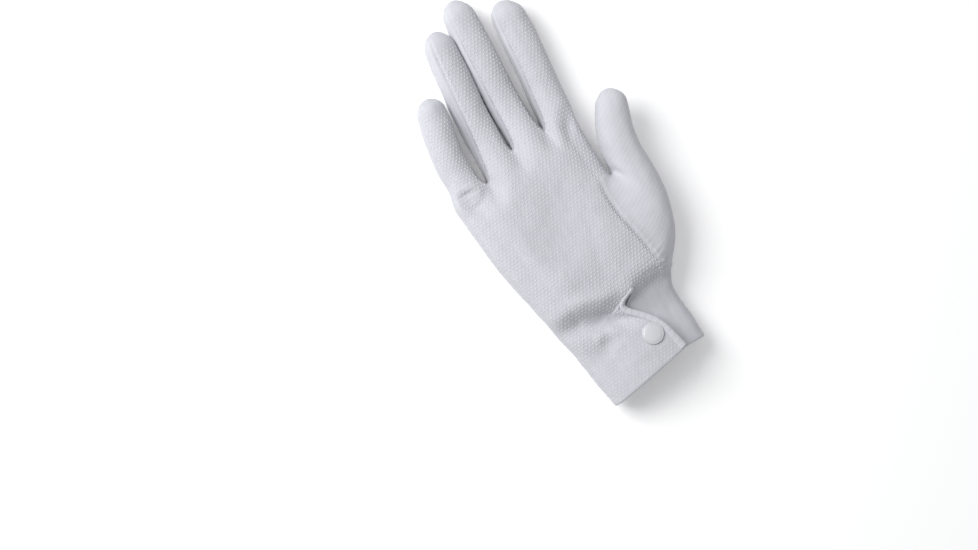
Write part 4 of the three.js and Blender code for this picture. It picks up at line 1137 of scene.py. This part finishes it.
def cloth_map(tree):
    """Places across and along the flat cloth, in metres."""
    place = tree.node("ShaderNodeUVMap", {"uv_map": "cloth"})
    axes = tree.node("ShaderNodeSeparateXYZ", {}, {"Vector": place}).socket.node
    return Wire(tree, axes.outputs[0]), Wire(tree, axes.outputs[1])


def blend(tree, share, low, high):
    """One colour that turns into another as the share rises from 0 to 1."""
    return tree.node("ShaderNodeMix", {"data_type": "RGBA"}, {0: share, 6: low, 7: high}, out=2)


def tinted(tree, shade, dark, light, share):
    """A colour between a darker and a lighter tint of a shade."""
    low, high = ((*(min(1.0, part * tint) for part in shade), 1) for tint in (dark, light))
    return blend(tree, share, low, high)


def speckle(tree, scale, detail):
    """Noise that is fixed to the piece."""
    place = tree.node("ShaderNodeTexCoord", out=3)
    return tree.node("ShaderNodeTexNoise", {}, {"Vector": place, "Scale": scale, "Detail": detail})


def bumped(tree, height, strength, distance):
    sockets = {"Height": height, "Strength": strength, "Distance": distance}
    return tree.node("ShaderNodeBump", {}, sockets)


def principled(tree, sockets):
    return tree.node("ShaderNodeBsdfPrincipled", {}, sockets)


def knit(name):
    """Knitted cotton: columns of stitches along the cloth, faint wider ribs and soft fibres, with painted
    shade where the stitches lie low. On the fourchettes, painted shade greys the knit down between the
    fingers."""

    def build(tree):
        size = bpy.context.scene.glove_sizes
        colours = bpy.context.scene.glove_colours
        shade = tuple(colours.palm if name == "dotted_knit" else colours.cotton)
        rib_pitch, rib_depth = RIBS[name]
        across, along = cloth_map(tree)
        column = (across * (math.pi / size.wale)).sine().size()
        chevron = (across * (2 / size.wale)).math("PINGPONG", 1.0)
        stitch = ((along * (2 * math.pi / (COURSE * size.wale))) + chevron * 2.4).sine()
        rib = (across * (2 * math.pi / rib_pitch)).sine()
        height = (column**0.6) * (0.62 + 0.2 * stitch) + rib * rib_depth + speckle(tree, 2600.0, 3.0) * 0.5
        # Painted shade: the knit is darker where its stitches and ribs lie low, mixed with a broad random
        # tone of the cloth.
        gap_shade_and_tone = 0.45 * height + 0.55 * speckle(tree, 38.0, 4.0)
        surface = tinted(tree, shade, 0.86, 1.1, gap_shade_and_tone)
        # Painted shade: the fourchettes' knit turns greyer towards the knuckles, where the neighbouring
        # fingers shade it.
        if name == "fourchette_knit":
            start, end = (size.hand_length + up for up in PAINTED_SHADE_FADE)
            fade = {"Value": along, "From Min": start, "From Max": end}
            inside = tinted(tree, tuple(colours.crotch_painted_shade), 0.86, 1.1, gap_shade_and_tone)
            surface = blend(tree, tree.node("ShaderNodeMapRange", {}, fade), inside, surface)
        sockets = {
            "Base Color": surface,
            "Roughness": 0.93,
            "Sheen Weight": 0.25,
            "Sheen Roughness": 0.45,
            "Specular IOR Level": 0.25,
            "Normal": bumped(tree, height, 0.45, 0.00022),
        }
        return principled(tree, sockets)

    return finish(name, build)


def rubber_dots():
    """Soft rubbery print of the grip dots."""

    def build(tree):
        shade = tuple(bpy.context.scene.glove_colours.dots)
        grain = speckle(tree, 900.0, 2.0)
        sockets = {
            "Base Color": tinted(tree, shade, 0.92, 1.05, grain),
            "Roughness": 0.55,
            "Normal": bumped(tree, grain, 0.3, 0.0001),
        }
        return principled(tree, sockets)

    return finish("grip_dot_print", build)


def twisted_thread():
    """Cotton thread with its twist."""

    def build(tree):
        shade = tuple(bpy.context.scene.glove_colours.thread)
        place = tree.node("ShaderNodeTexCoord", out=3)
        wave = {"Vector": place, "Scale": 420.0, "Distortion": 1.5}
        twist = tree.node("ShaderNodeTexWave", {"bands_direction": "DIAGONAL"}, wave)
        sockets = {
            "Base Color": tinted(tree, shade, 0.85, 1.08, twist),
            "Roughness": 0.8,
            "Normal": bumped(tree, twist, 0.5, 0.0001),
        }
        return principled(tree, sockets)

    return finish("twisted_thread", build)


def painted_snap():
    """White painted metal of the snap, a little worn."""

    def build(tree):
        shade = tuple(bpy.context.scene.glove_colours.snap)
        wear = speckle(tree, 160.0, 3.0)
        sockets = {
            "Base Color": tinted(tree, shade, 0.9, 1.06, wear),
            "Roughness": 0.28 + 0.18 * wear,
            "Coat Weight": 0.15,
            "Normal": bumped(tree, speckle(tree, 700.0, 4.0), 0.15, 0.0001),
        }
        return principled(tree, sockets)

    return finish("painted_snap", build)


class GLOVE_OT_sew_shell(bpy.types.Operator):
    """Sews the palm, the back, the thumb and the fourchettes"""

    bl_idname = "glove.sew_shell"
    bl_label = "Sew the shell"

    def execute(self, context):
        whole = skin()
        inner = whole.plain - whole.normals * context.scene.glove_sizes.cloth
        finishes = {"palm": "dotted_knit", "back": "plain_knit", "thumb": "plain_knit"}
        for number, label in enumerate(LABELS):
            material = knit(finishes.get(label, "fourchette_knit"))
            slot = "dotted_knit" if label == "palm" else "plain_knit"
            mesh = shell_mesh(label, whole.label == number, whole.dressed, inner)
            place_piece(f"{CAD_NODES[label]}_cloth", mesh, material, slot, CAD_NODES[label])
        return {"FINISHED"}


def on_cuff(whole, a, b, face):
    """Whether an open edge of a face lies on the cuff, not on the vent."""
    if whole.ring[face] != 0:
        return False
    middle = (whole.plain[a] + whole.plain[b]) / 2
    centre = whole.plain[whole.quads[face]].mean(0)
    return abs(centre[1] - middle[1]) > abs(centre[0] - middle[0]) and middle[1] < centre[1]


class GLOVE_OT_turn_hem(bpy.types.Operator):
    """Turns the hem in at the cuff, with its rolled edge"""

    bl_idname = "glove.turn_hem"
    bl_label = "Turn the hem"

    ARC_STEPS = 8

    def execute(self, context):
        size = context.scene.glove_sizes
        whole = skin()
        keep = (whole.ring >= 0) & (whole.ring < whole.cage.hem_ring)
        outer = whole.plain - whole.normals * (size.cloth + size.seam_gap)
        inner = whole.plain - whole.normals * (2 * size.cloth + size.seam_gap)
        mesh = shell_mesh("hem", keep, outer, inner)
        place_piece("cuff_hem_band", mesh, knit("hem_knit"), "plain_knit", "cuff_hem")
        self.roll_edge(whole, size)
        return {"FINISHED"}

    def roll_edge(self, whole, size):
        """The fold of the cloth round the cuff's edge."""
        cuff = [(a, b) for a, b, face in whole.edges if on_cuff(whole, a, b, face)]
        radius = size.cloth + size.seam_gap / 2
        angles = [lerp(math.pi / 2, -math.pi / 2, k / self.ARC_STEPS) for k in range(self.ARC_STEPS + 1)]
        for n, run in enumerate(whole.chains(cuff)):
            rings = []
            places = whole.dressed[run]
            ways = np.gradient(places, axis=0)
            ways /= np.linalg.norm(ways, axis=1, keepdims=True)
            for here, way, point in zip(places, ways, run):
                normal = whole.dressed_normals[point]
                out = np.cross(way, normal)
                out *= -math.copysign(1, out[1])
                centre = here - normal * radius
                arc = [centre + (normal * math.sin(a) + out * math.cos(a)) * radius for a in angles]
                back = [centre - normal * (radius * 0.6), centre + normal * (radius * 0.6)]
                rings.append(np.array(arc + [b - out * 0.0002 for b in back]))
            side = np.cross(rings[0][1] - rings[0][0], rings[0][2] - rings[0][1])
            if side @ ways[0] > 0:
                rings = [ring[::-1] for ring in rings]
            mesh = sweep_mesh("cuff_roll", rings)
            place_piece(f"cuff_rolled_edge_{n + 1}", mesh, knit("hem_knit"), "plain_knit")


class GLOVE_OT_bind_vent(bpy.types.Operator):
    """Binds the upper flap of the vent with a rolled edge"""

    bl_idname = "glove.bind_vent"
    bl_label = "Bind the vent"

    STEPS = 110
    SMOOTHING_PASSES = 90
    SIDES = 16
    SQUARENESS = 0.85
    PUCKER_LENGTH = 0.0021
    ROUND_END = 0.06  # the share of its length over which the far end closes

    def execute(self, context):
        size = context.scene.glove_sizes
        at, path, normals = self.edge_path(skin())
        rings = []
        for k in range(self.STEPS + 1):
            share = k / self.STEPS
            way = path[min(k + 1, self.STEPS)] - path[max(k - 1, 0)]
            way /= np.linalg.norm(way)
            side = np.cross(way, normals[k])
            side /= np.linalg.norm(side)
            up = np.cross(side, way)
            wide = size.binding_width / 2 * lerp(1.35, 1.25, smoothstep(share, 0.1, 0.5))
            tall = size.binding_height / 2 * lerp(0.95, 1.15, smoothstep(share, 0.2, 0.6))
            closing = max(0, share - 1 + self.ROUND_END) / self.ROUND_END
            end = math.sqrt(clamp(1 - closing**2, 0.02, 1))
            raise_end = size.binding_height * 0.15 * smoothstep(share, 0.86, 1)
            pucker = 1 + 0.05 * math.sin(at[k] / self.PUCKER_LENGTH * math.pi)
            centre = path[k] - side * (wide * 0.2) + up * (raise_end - size.cloth / 3)
            ring = []
            for j in range(self.SIDES):
                angle = -2 * math.pi * j / self.SIDES
                out = signed_power(math.cos(angle), self.SQUARENESS) * wide * end
                high = signed_power(math.sin(angle), self.SQUARENESS) * tall * end * pucker
                ring.append(centre + side * out + up * high)
            rings.append(np.array(ring))
        mesh = sweep_mesh("binding", rings)
        place_piece("vent_binding_roll", mesh, knit("binding_knit"), "binding", "vent_binding")
        return {"FINISHED"}

    def edge_path(self, whole):
        """The upper flap's edge from the cuff over the vent's top: its distances, places and normals."""
        edges = [(a, b, face) for a, b, face in whole.edges if not whole.lower[face]]
        run = max(whole.chains([(a, b) for a, b, face in edges if not on_cuff(whole, a, b, face)]), key=len)
        if whole.plain[run[0]][1] > whole.plain[run[-1]][1]:
            run = run[::-1]
        places = whole.plain[run]
        steps = np.linalg.norm(np.diff(places, axis=0), axis=1)
        run_length = np.concatenate([[0], np.cumsum(steps)])
        at = np.linspace(0, run_length[-1], self.STEPS + 1)
        evenly = [
            np.stack([np.interp(at, run_length, values[:, k]) for k in range(3)], axis=1)
            for values in (places, whole.normals[run])
        ]
        for _ in range(self.SMOOTHING_PASSES):
            for values in evenly:
                values[1:-1] = (values[:-2] + 2 * values[1:-1] + values[2:]) / 4
        return at, *evenly


# Half the outline of the snap's cap, from its foot to the middle of its face.
CAP_PROFILE = table(
    "radius height",
    (0.0, 0.0), (0.95, 0.0), (0.985, 0.04), (1.0, 0.14), (1.0, 0.34), (0.99, 0.46), (0.965, 0.56),
    (0.93, 0.6), (0.9, 0.585), (0.885, 0.56), (0.87, 0.575), (0.84, 0.66), (0.78, 0.76), (0.68, 0.84),
    (0.52, 0.91), (0.34, 0.96), (0.16, 0.99), (0.0, 1.0),
)


class GLOVE_OT_set_snap(bpy.types.Operator):
    """Sets the snap's cap and paints its socket and stud"""

    bl_idname = "glove.set_snap"
    bl_label = "Set the snap"

    SIDES = 72

    def execute(self, context):
        points = np.array([v.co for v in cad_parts["snap_cap"].data.vertices])
        centre = points.mean(0)
        axis = np.linalg.svd(points - centre)[2][2]
        axis *= math.copysign(1, axis[2])
        across = np.cross(axis, (0.0, 1.0, 0.0))
        across /= np.linalg.norm(across)
        ahead = np.cross(axis, across)
        heights = (points - centre) @ axis
        radius = np.linalg.norm(points - centre - np.outer(heights, axis), axis=1).max()
        foot = centre + axis * heights.min()
        tall = heights.max() - heights.min()
        places = []
        for row in CAP_PROFILE[1:-1]:
            for j in range(self.SIDES):
                angle = 2 * math.pi * j / self.SIDES
                out = across * math.cos(angle) + ahead * math.sin(angle)
                places.append(foot + out * (row["radius"] * radius) + axis * (row["height"] * tall))
        rows = len(CAP_PROFILE) - 2
        bottom, top = rows * self.SIDES, rows * self.SIDES + 1
        last = bottom - self.SIDES
        faces = rows_of_quads(rows, self.SIDES)
        for j in range(self.SIDES):
            k = (j + 1) % self.SIDES
            faces += [[bottom, k, j], [top, last + j, last + k]]
        places += [foot, foot + axis * tall]
        mesh = bpy.data.meshes.new("snap")
        mesh.from_pydata([tuple(p) for p in places], [], faces)
        mesh.shade_smooth()
        mesh.set_sharp_from_angle(angle=math.radians(60))
        place_piece("snap_cap_domed", mesh, painted_snap(), "snap", "snap_cap")
        for name in ("snap_socket", "snap_stud"):
            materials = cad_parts[name].data.materials
            materials.clear()
            materials.append(painted_snap())
        return {"FINISHED"}


class GLOVE_OT_raise_points(bpy.types.Operator):
    """Raises the three points on the back"""

    bl_idname = "glove.raise_points"
    bl_label = "Raise the points"

    SHARES = (0.93, 1.06, 1.03)
    STEPS = 60
    ARCH_STEPS = 12
    START_GAP = 0.004  # from the knuckles, in metres
    WRIST_SHIFT = 0.06  # towards the thumb, as a share of the knuckle width
    END_RATE = 18  # how quickly a point rises at its ends
    GROOVE = 0.34  # depth of the stitched groove along its top
    GROOVE_WIDTH = 0.2
    SUNK = 0.0001  # how far it sinks into the back, and its least height over the floor

    def execute(self, context):
        size = context.scene.glove_sizes
        whole = skin()
        back = BVHTree.FromPolygons(whole.dressed.tolist(), whole.quads[whole.label == 1].tolist())
        cage = whole.cage
        offset = Vector(whole.offset)
        middle = cage.points["B", 2 * ACROSS, LAST_RING] + offset
        for k, share in enumerate(self.SHARES):
            start = cage.points["B", (k + 1) * ACROSS, LAST_RING] + offset
            wrist = middle.x + self.WRIST_SHIFT * cage.knuckle_width + (k - 1) * size.point_spread
            rings = []
            for n in range(self.STEPS + 1):
                t = n / self.STEPS
                x = lerp(start.x, wrist, t)
                y = start.y - self.START_GAP - t * share * size.point_length
                hit = back.ray_cast(Vector((x, y, -0.1)), Vector((0, 0, 1)))[0]
                top = (hit.z if hit else size.point_bed) + self.SUNK
                rings.append(self.arch(size, t, x, y, top))
            name = f"point_{k + 1}"
            place_piece(f"{name}_welt", sweep_mesh("point", rings), knit("plain_knit"), "plain_knit", name)
        return {"FINISHED"}

    def arch(self, size, t, x, y, top):
        """A point's section, at a share of its length."""
        ends = math.sqrt(clamp(self.END_RATE * min(t, 1 - t), 0.05, 1))
        half = size.point_width / 2 * (0.6 + 0.4 * ends)
        ring = [(x + half, y, top), (x - half, y, top)]
        for j in range(1, self.ARCH_STEPS):
            a = 2 * j / self.ARCH_STEPS - 1
            groove = 1 - self.GROOVE * math.exp(-((a / self.GROOVE_WIDTH) ** 2))
            deep = size.point_height * ends * (1 - abs(a) ** 4) ** 0.5 * groove
            ring.append((x + a * half, y, max(top - deep, self.SUNK)))
        return np.array(ring)


def node_group(name, numbers, material):
    """A Geometry Nodes tree that takes numbers and a material. It returns the tree, the identifiers of its
    inputs and its inputs as wires."""
    group = bpy.data.node_groups.new(name, "GeometryNodeTree")
    face = group.interface
    face.new_socket("Geometry", in_out="OUTPUT", socket_type="NodeSocketGeometry")
    face.new_socket("Geometry", in_out="INPUT", socket_type="NodeSocketGeometry")
    kinds = {**dict.fromkeys(numbers, "NodeSocketFloat"), material: "NodeSocketMaterial"}
    keys = {}
    for label, kind in kinds.items():
        keys[label] = face.new_socket(label, in_out="INPUT", socket_type=kind).identifier
    tree = Tree(group)
    source = tree.node("NodeGroupInput").socket.node
    given = {socket.name: Wire(tree, socket) for socket in source.outputs if socket.name}
    return tree, keys, given


def set_on_points(tree, spots, shape, way, material, scale=None):
    """Ends a Geometry Nodes tree: real copies of a shape on points, with its Z axis along a direction."""
    turn = tree.node("FunctionNodeAlignRotationToVector", {"axis": "Z"}, {"Vector": way})
    sockets = {"Points": spots, "Instance": shape, "Rotation": turn}
    if scale:
        sockets["Scale"] = scale
    copies = tree.node("GeometryNodeInstanceOnPoints", {}, sockets)
    real = tree.node("GeometryNodeRealizeInstances", {}, {"Geometry": copies})
    real = tree.node("GeometryNodeSetMaterial", {}, {"Geometry": real, "Material": material})
    tree.node("NodeGroupOutput", {}, {"Geometry": real})


def attribute(tree, name, kind="FLOAT_VECTOR"):
    return tree.node("GeometryNodeInputNamedAttribute", {"data_type": kind}, {"Name": name})


def grown(name, mesh_or_curve, tree, keys, values):
    """The plain mesh that a node tree makes from an object."""
    holder = bpy.data.objects.new(name, mesh_or_curve)
    bpy.context.scene.collection.objects.link(holder)
    grow = holder.modifiers.new(name, "NODES")
    grow.node_group = tree.nodes
    for label, value in values.items():
        grow[keys[label]] = value
    depsgraph = bpy.context.evaluated_depsgraph_get()
    depsgraph.update()
    mesh = bpy.data.meshes.new_from_object(holder.evaluated_get(depsgraph), depsgraph=depsgraph)
    holder.modifiers.remove(grow)
    bpy.data.objects.remove(holder)
    return mesh


class GLOVE_OT_print_dots(bpy.types.Operator):
    """Prints the grip dots on the palm"""

    bl_idname = "glove.print_dots"
    bl_label = "Print the grip dots"

    def execute(self, context):
        size = context.scene.glove_sizes
        mesh = self.printed_cloth()
        tree, keys = self.lattice_tree()
        values = {
            "Pitch": size.dot_pitch,
            "Rows": size.dot_rows,
            "Width": size.dot_width,
            "Height": size.dot_height,
            "Dot": rubber_dots(),
        }
        dots = grown("grip_dots", mesh, tree, keys, values)
        dots.shade_smooth()
        place_piece("grip_dots", dots, rubber_dots(), "dotted_knit")
        return {"FINISHED"}

    def printed_cloth(self):
        """The palm's outer face with how large a dot is at each place."""
        whole = skin()
        keep = whole.label == 0
        used, faces = np.unique(whole.quads[keep], return_inverse=True)
        mesh = quad_mesh("printed", whole.dressed[used], faces.reshape(-1, 4), whole.flat[keep], None)
        places = (whole.plain[used] - whole.offset) / MM
        x, y = places[:, 0], places[:, 1]
        share = np.clip((whole.from_tips(places) - 4) / 12, 0, 1)
        share *= 0.8 + 0.2 * np.clip((y - 20) / 6, 0, 1)
        lower = np.isin(used, whole.quads[keep & whole.lower])
        share *= np.where(lower, np.clip((y - 25) / 20, 0, 1), 1)
        share *= np.clip(whole.from_thumb_seam[used] / 2 - 0.3, 0, 1)
        share *= 1 - WORN_SHARE * bell(np.hypot(x, y - WORN_PLACE), WORN_WIDTH)
        share *= np.clip((whole.normals[used][:, 2] + 0.15) / 0.8, 0, 1)
        mesh.attributes.new("print", "FLOAT", "POINT").data.foreach_set("value", share)
        return mesh

    def lattice(self, tree, given):
        """A turned, staggered lattice of points on the flat cloth: its mesh and their flat places."""
        sockets = {
            "Size X": given["Pitch"] * float(LATTICE_COLUMNS - 1),
            "Size Y": given["Rows"] * float(LATTICE_ROWS - 1),
            "Vertices X": LATTICE_COLUMNS,
            "Vertices Y": LATTICE_ROWS,
        }
        grid = tree.node("GeometryNodeMeshGrid", {}, sockets)
        position = tree.node("GeometryNodeInputPosition")
        place = tree.node("ShaderNodeSeparateXYZ", {}, {0: position}).socket.node
        across, along = (Wire(tree, place.outputs[k]) for k in (0, 1))
        row = (along / given["Rows"] + ROW_SHIFT).math("FLOOR")
        stagger = row.math("MODULO", 2.0) * given["Pitch"] * 0.5
        shifted = tree.node("ShaderNodeCombineXYZ", {}, {0: across + stagger, 1: along + LATTICE_MIDDLE})
        turn = {"Vector": shifted, "Angle": LATTICE_TURN}
        return grid, tree.node("ShaderNodeVectorRotate", {"rotation_type": "Z_AXIS"}, turn)

    def lattice_tree(self):
        """The lattice carried from the flat cloth to the palm and set with dots."""
        numbers = ("Pitch", "Rows", "Width", "Height")
        tree, keys, given = node_group("grip_dot_lattice", numbers, "Dot")
        kept, turned = self.lattice(tree, given)
        flat = attribute(tree, "cloth")
        cloth = given["Geometry"]

        def carried(kind, value):
            sockets = {"Mesh": cloth, "Value": value, "Source UV Map": flat, "Sample UV": turned}
            return tree.node("GeometryNodeSampleUVSurface", {"data_type": kind}, sockets)

        where = carried("FLOAT_VECTOR", tree.node("GeometryNodeInputPosition"))
        valid = Wire(tree, where.socket.node.outputs[1])
        normal = carried("FLOAT_VECTOR", tree.node("GeometryNodeInputNormal"))
        share = carried("FLOAT", attribute(tree, "print", "FLOAT"))
        large = share.math("GREATER_THAN", SMALLEST_DOT)
        wanted = tree.node("FunctionNodeBooleanMath", {"operation": "AND"}, {0: valid, 1: large})
        unwanted = tree.node("FunctionNodeBooleanMath", {"operation": "NOT"}, {0: wanted})
        for name, value in (("where", where), ("normal", normal), ("share", share)):
            settings = {"data_type": "FLOAT" if name == "share" else "FLOAT_VECTOR", "domain": "POINT"}
            sockets = {"Geometry": kept, "Name": name, "Value": value}
            kept = tree.node("GeometryNodeStoreNamedAttribute", settings, sockets)
        kept = tree.node("GeometryNodeDeleteGeometry", {}, {"Geometry": kept, "Selection": unwanted})
        sockets = {"Mesh": kept, "Position": attribute(tree, "where")}
        spots = tree.node("GeometryNodeMeshToPoints", {}, sockets)
        sockets = {
            "Vertices": 8,
            "Side Segments": 1,
            "Radius Top": given["Width"] * DOT_TOP,
            "Radius Bottom": given["Width"] * 0.5,
            "Depth": given["Height"] * DOT_BODY,
        }
        dot = tree.node("GeometryNodeMeshCone", {"fill_type": "NGON"}, sockets)
        sunk = tree.node("ShaderNodeCombineXYZ", {}, {2: given["Height"] * -DOT_FOOT})
        dot = tree.node("GeometryNodeTransform", {}, {"Geometry": dot, "Translation": sunk})
        size = attribute(tree, "share", "FLOAT")
        set_on_points(tree, spots, dot, attribute(tree, "normal"), given["Dot"], size)
        return tree, keys


class GLOVE_OT_stitch(bpy.types.Operator):
    """Stitches the hem on the back"""

    bl_idname = "glove.stitch"
    bl_label = "Stitch the hem"

    FACES_UP = 0.3  # cloth whose normal rises more than this has no stitches
    LIFT = 0.00002  # of the stitches' middle over the cloth, in metres
    FLOOR_SHARE = 0.55  # least height of their middle over the floor, as a share of their width

    def execute(self, context):
        size = context.scene.glove_sizes
        whole = skin()
        tree, keys = self.stitch_tree()
        hem = whole.cage.hem_ring
        rings = {hem - 1, hem}
        at_hem = [(a, b) for a, b, f, g in whole.rings_met if {whole.ring[f], whole.ring[g]} == rings]
        pairs = [(a, b) for a, b in at_hem if whole.normals[[a, b], 2].max() < self.FACES_UP]
        runs = [whole.dressed[run] + whole.dressed_normals[run] * self.LIFT for run in whole.chains(pairs)]
        for run in runs:
            run[:, 2] = np.maximum(run[:, 2], size.stitch_width * self.FLOOR_SHARE)
        values = {
            "Pitch": size.stitch_pitch,
            "Length": size.stitch_length,
            "Width": size.stitch_width,
            "Thread": twisted_thread(),
        }
        mesh = grown("hem_stitches", self.path("hem", runs), tree, keys, values)
        mesh.shade_smooth()
        place_piece("hem_stitches", mesh, twisted_thread(), "plain_knit")
        return {"FINISHED"}

    def path(self, name, runs):
        curve = bpy.data.curves.new(name, "CURVE")
        curve.dimensions = "3D"
        for run in runs:
            spline = curve.splines.new("POLY")
            spline.points.add(len(run) - 1)
            flat = np.concatenate([run, np.ones((len(run), 1))], axis=1)
            spline.points.foreach_set("co", flat.ravel())
        return curve

    def stitch_tree(self):
        """Small rounded stitches at even steps along a path."""
        tree, keys, given = node_group("stitch_row", ("Pitch", "Length", "Width"), "Thread")
        sockets = {"Curve": given["Geometry"], "Length": given["Pitch"]}
        spots = tree.node("GeometryNodeResampleCurve", {"mode": "LENGTH"}, sockets)
        ball = tree.node("GeometryNodeMeshUVSphere", {}, {"Segments": 6, "Rings": 5, "Radius": 0.5})
        width = given["Width"]
        scale = tree.node("ShaderNodeCombineXYZ", {}, {0: width, 1: width, 2: given["Length"]})
        stitch = tree.node("GeometryNodeTransform", {}, {"Geometry": ball, "Scale": scale})
        tangent = tree.node("GeometryNodeInputTangent")
        set_on_points(tree, spots, stitch, tangent, given["Thread"])
        return tree, keys


class GLOVE_OT_dress_stage(bpy.types.Operator):
    """Sets the pale floor, the soft light and the camera"""

    bl_idname = "glove.dress_stage"
    bl_label = "Dress the stage"

    def execute(self, context):
        self.lay_floor()
        self.hang_lights()
        self.aim_camera()
        return {"FINISHED"}

    def lay_floor(self):
        mesh = bpy.data.meshes.new("floor")
        corners = [(x * FLOOR_HALF, y * FLOOR_HALF, 0) for x, y in ((-1, -1), (1, -1), (1, 1), (-1, 1))]
        mesh.from_pydata(corners, [], [(0, 1, 2, 3)])
        shade = tuple(bpy.context.scene.glove_colours.floor)

        def build(tree):
            sockets = {
                "Base Color": tinted(tree, shade, 0.99, 1.01, speckle(tree, 3.0, 2.0)),
                "Roughness": 0.8,
                "Emission Color": (1, 1, 1, 1),
                "Emission Strength": FLOOR_GLOW,
            }
            return principled(tree, sockets)

        mesh.materials.append(finish("pale_floor", build))
        floor = bpy.data.objects.new("floor", mesh)
        bpy.context.scene.collection.objects.link(floor)

    def hang_lights(self):
        for row in LAMPS:
            light = bpy.data.lights.new(row["name"], "AREA")
            light.size = row["width"]
            light.energy = row["power"]
            lamp = bpy.data.objects.new(row["name"], light)
            lamp.location = (row["x"], row["y"], row["z"])
            lamp.rotation_euler = (-lamp.location).to_track_quat("-Z", "Y").to_euler()
            bpy.context.scene.collection.objects.link(lamp)
        world = bpy.data.worlds.new("soft_room")
        world.use_nodes = True
        sockets = world.node_tree.nodes["Background"].inputs
        sockets["Color"].default_value = ROOM_COLOUR
        sockets["Strength"].default_value = ROOM_LIGHT
        bpy.context.scene.world = world
        bpy.context.scene.view_settings.view_transform = "Standard"

    def aim_camera(self):
        away = Vector((-math.sin(VIEW_LEAN), 0, math.cos(VIEW_LEAN)))
        up = (VIEW_UP - away * VIEW_UP.dot(away)).normalized()
        across = up.cross(away)
        camera = bpy.data.cameras.new("camera")
        camera.lens = VIEW_LENS
        camera.sensor_width = VIEW_SENSOR
        camera.clip_end = VIEW_REACH
        viewer = bpy.data.objects.new("camera", camera)
        place = VIEW_TARGET + away * VIEW_DISTANCE
        viewer.matrix_world = Matrix.Translation(place) @ Matrix((across, up, away)).transposed().to_4x4()
        bpy.context.scene.collection.objects.link(viewer)
        bpy.context.scene.camera = viewer


OPERATORS = (
    GLOVE_OT_sew_shell,
    GLOVE_OT_turn_hem,
    GLOVE_OT_bind_vent,
    GLOVE_OT_set_snap,
    GLOVE_OT_raise_points,
    GLOVE_OT_print_dots,
    GLOVE_OT_stitch,
    GLOVE_OT_dress_stage,
)


class GLOVE_PT_panel(bpy.types.Panel):
    """Lists the glove's sizes, colours and steps"""

    bl_idname = "GLOVE_PT_panel"
    bl_label = "White Parade Glove"
    bl_space_type = "VIEW_3D"
    bl_region_type = "UI"
    bl_category = "Glove"

    def draw(self, context):
        for group in (context.scene.glove_sizes, context.scene.glove_colours):
            for key in type(group).__annotations__:
                self.layout.prop(group, key)
        for operator in OPERATORS:
            self.layout.operator(operator.bl_idname)


CLASSES = (GloveSizes, GloveColours, *OPERATORS, GLOVE_PT_panel)


def register():
    for cls in CLASSES:
        bpy.utils.register_class(cls)
    bpy.types.Scene.glove_sizes = PointerProperty(type=GloveSizes)
    bpy.types.Scene.glove_colours = PointerProperty(type=GloveColours)


def unregister():
    del bpy.types.Scene.glove_colours
    del bpy.types.Scene.glove_sizes
    for cls in reversed(CLASSES):
        bpy.utils.unregister_class(cls)


def main():
    register()
    for operator in OPERATORS:
        group, name = operator.bl_idname.split(".")
        getattr(getattr(bpy.ops, group), name)()


if __name__ == "__main__":
    main()
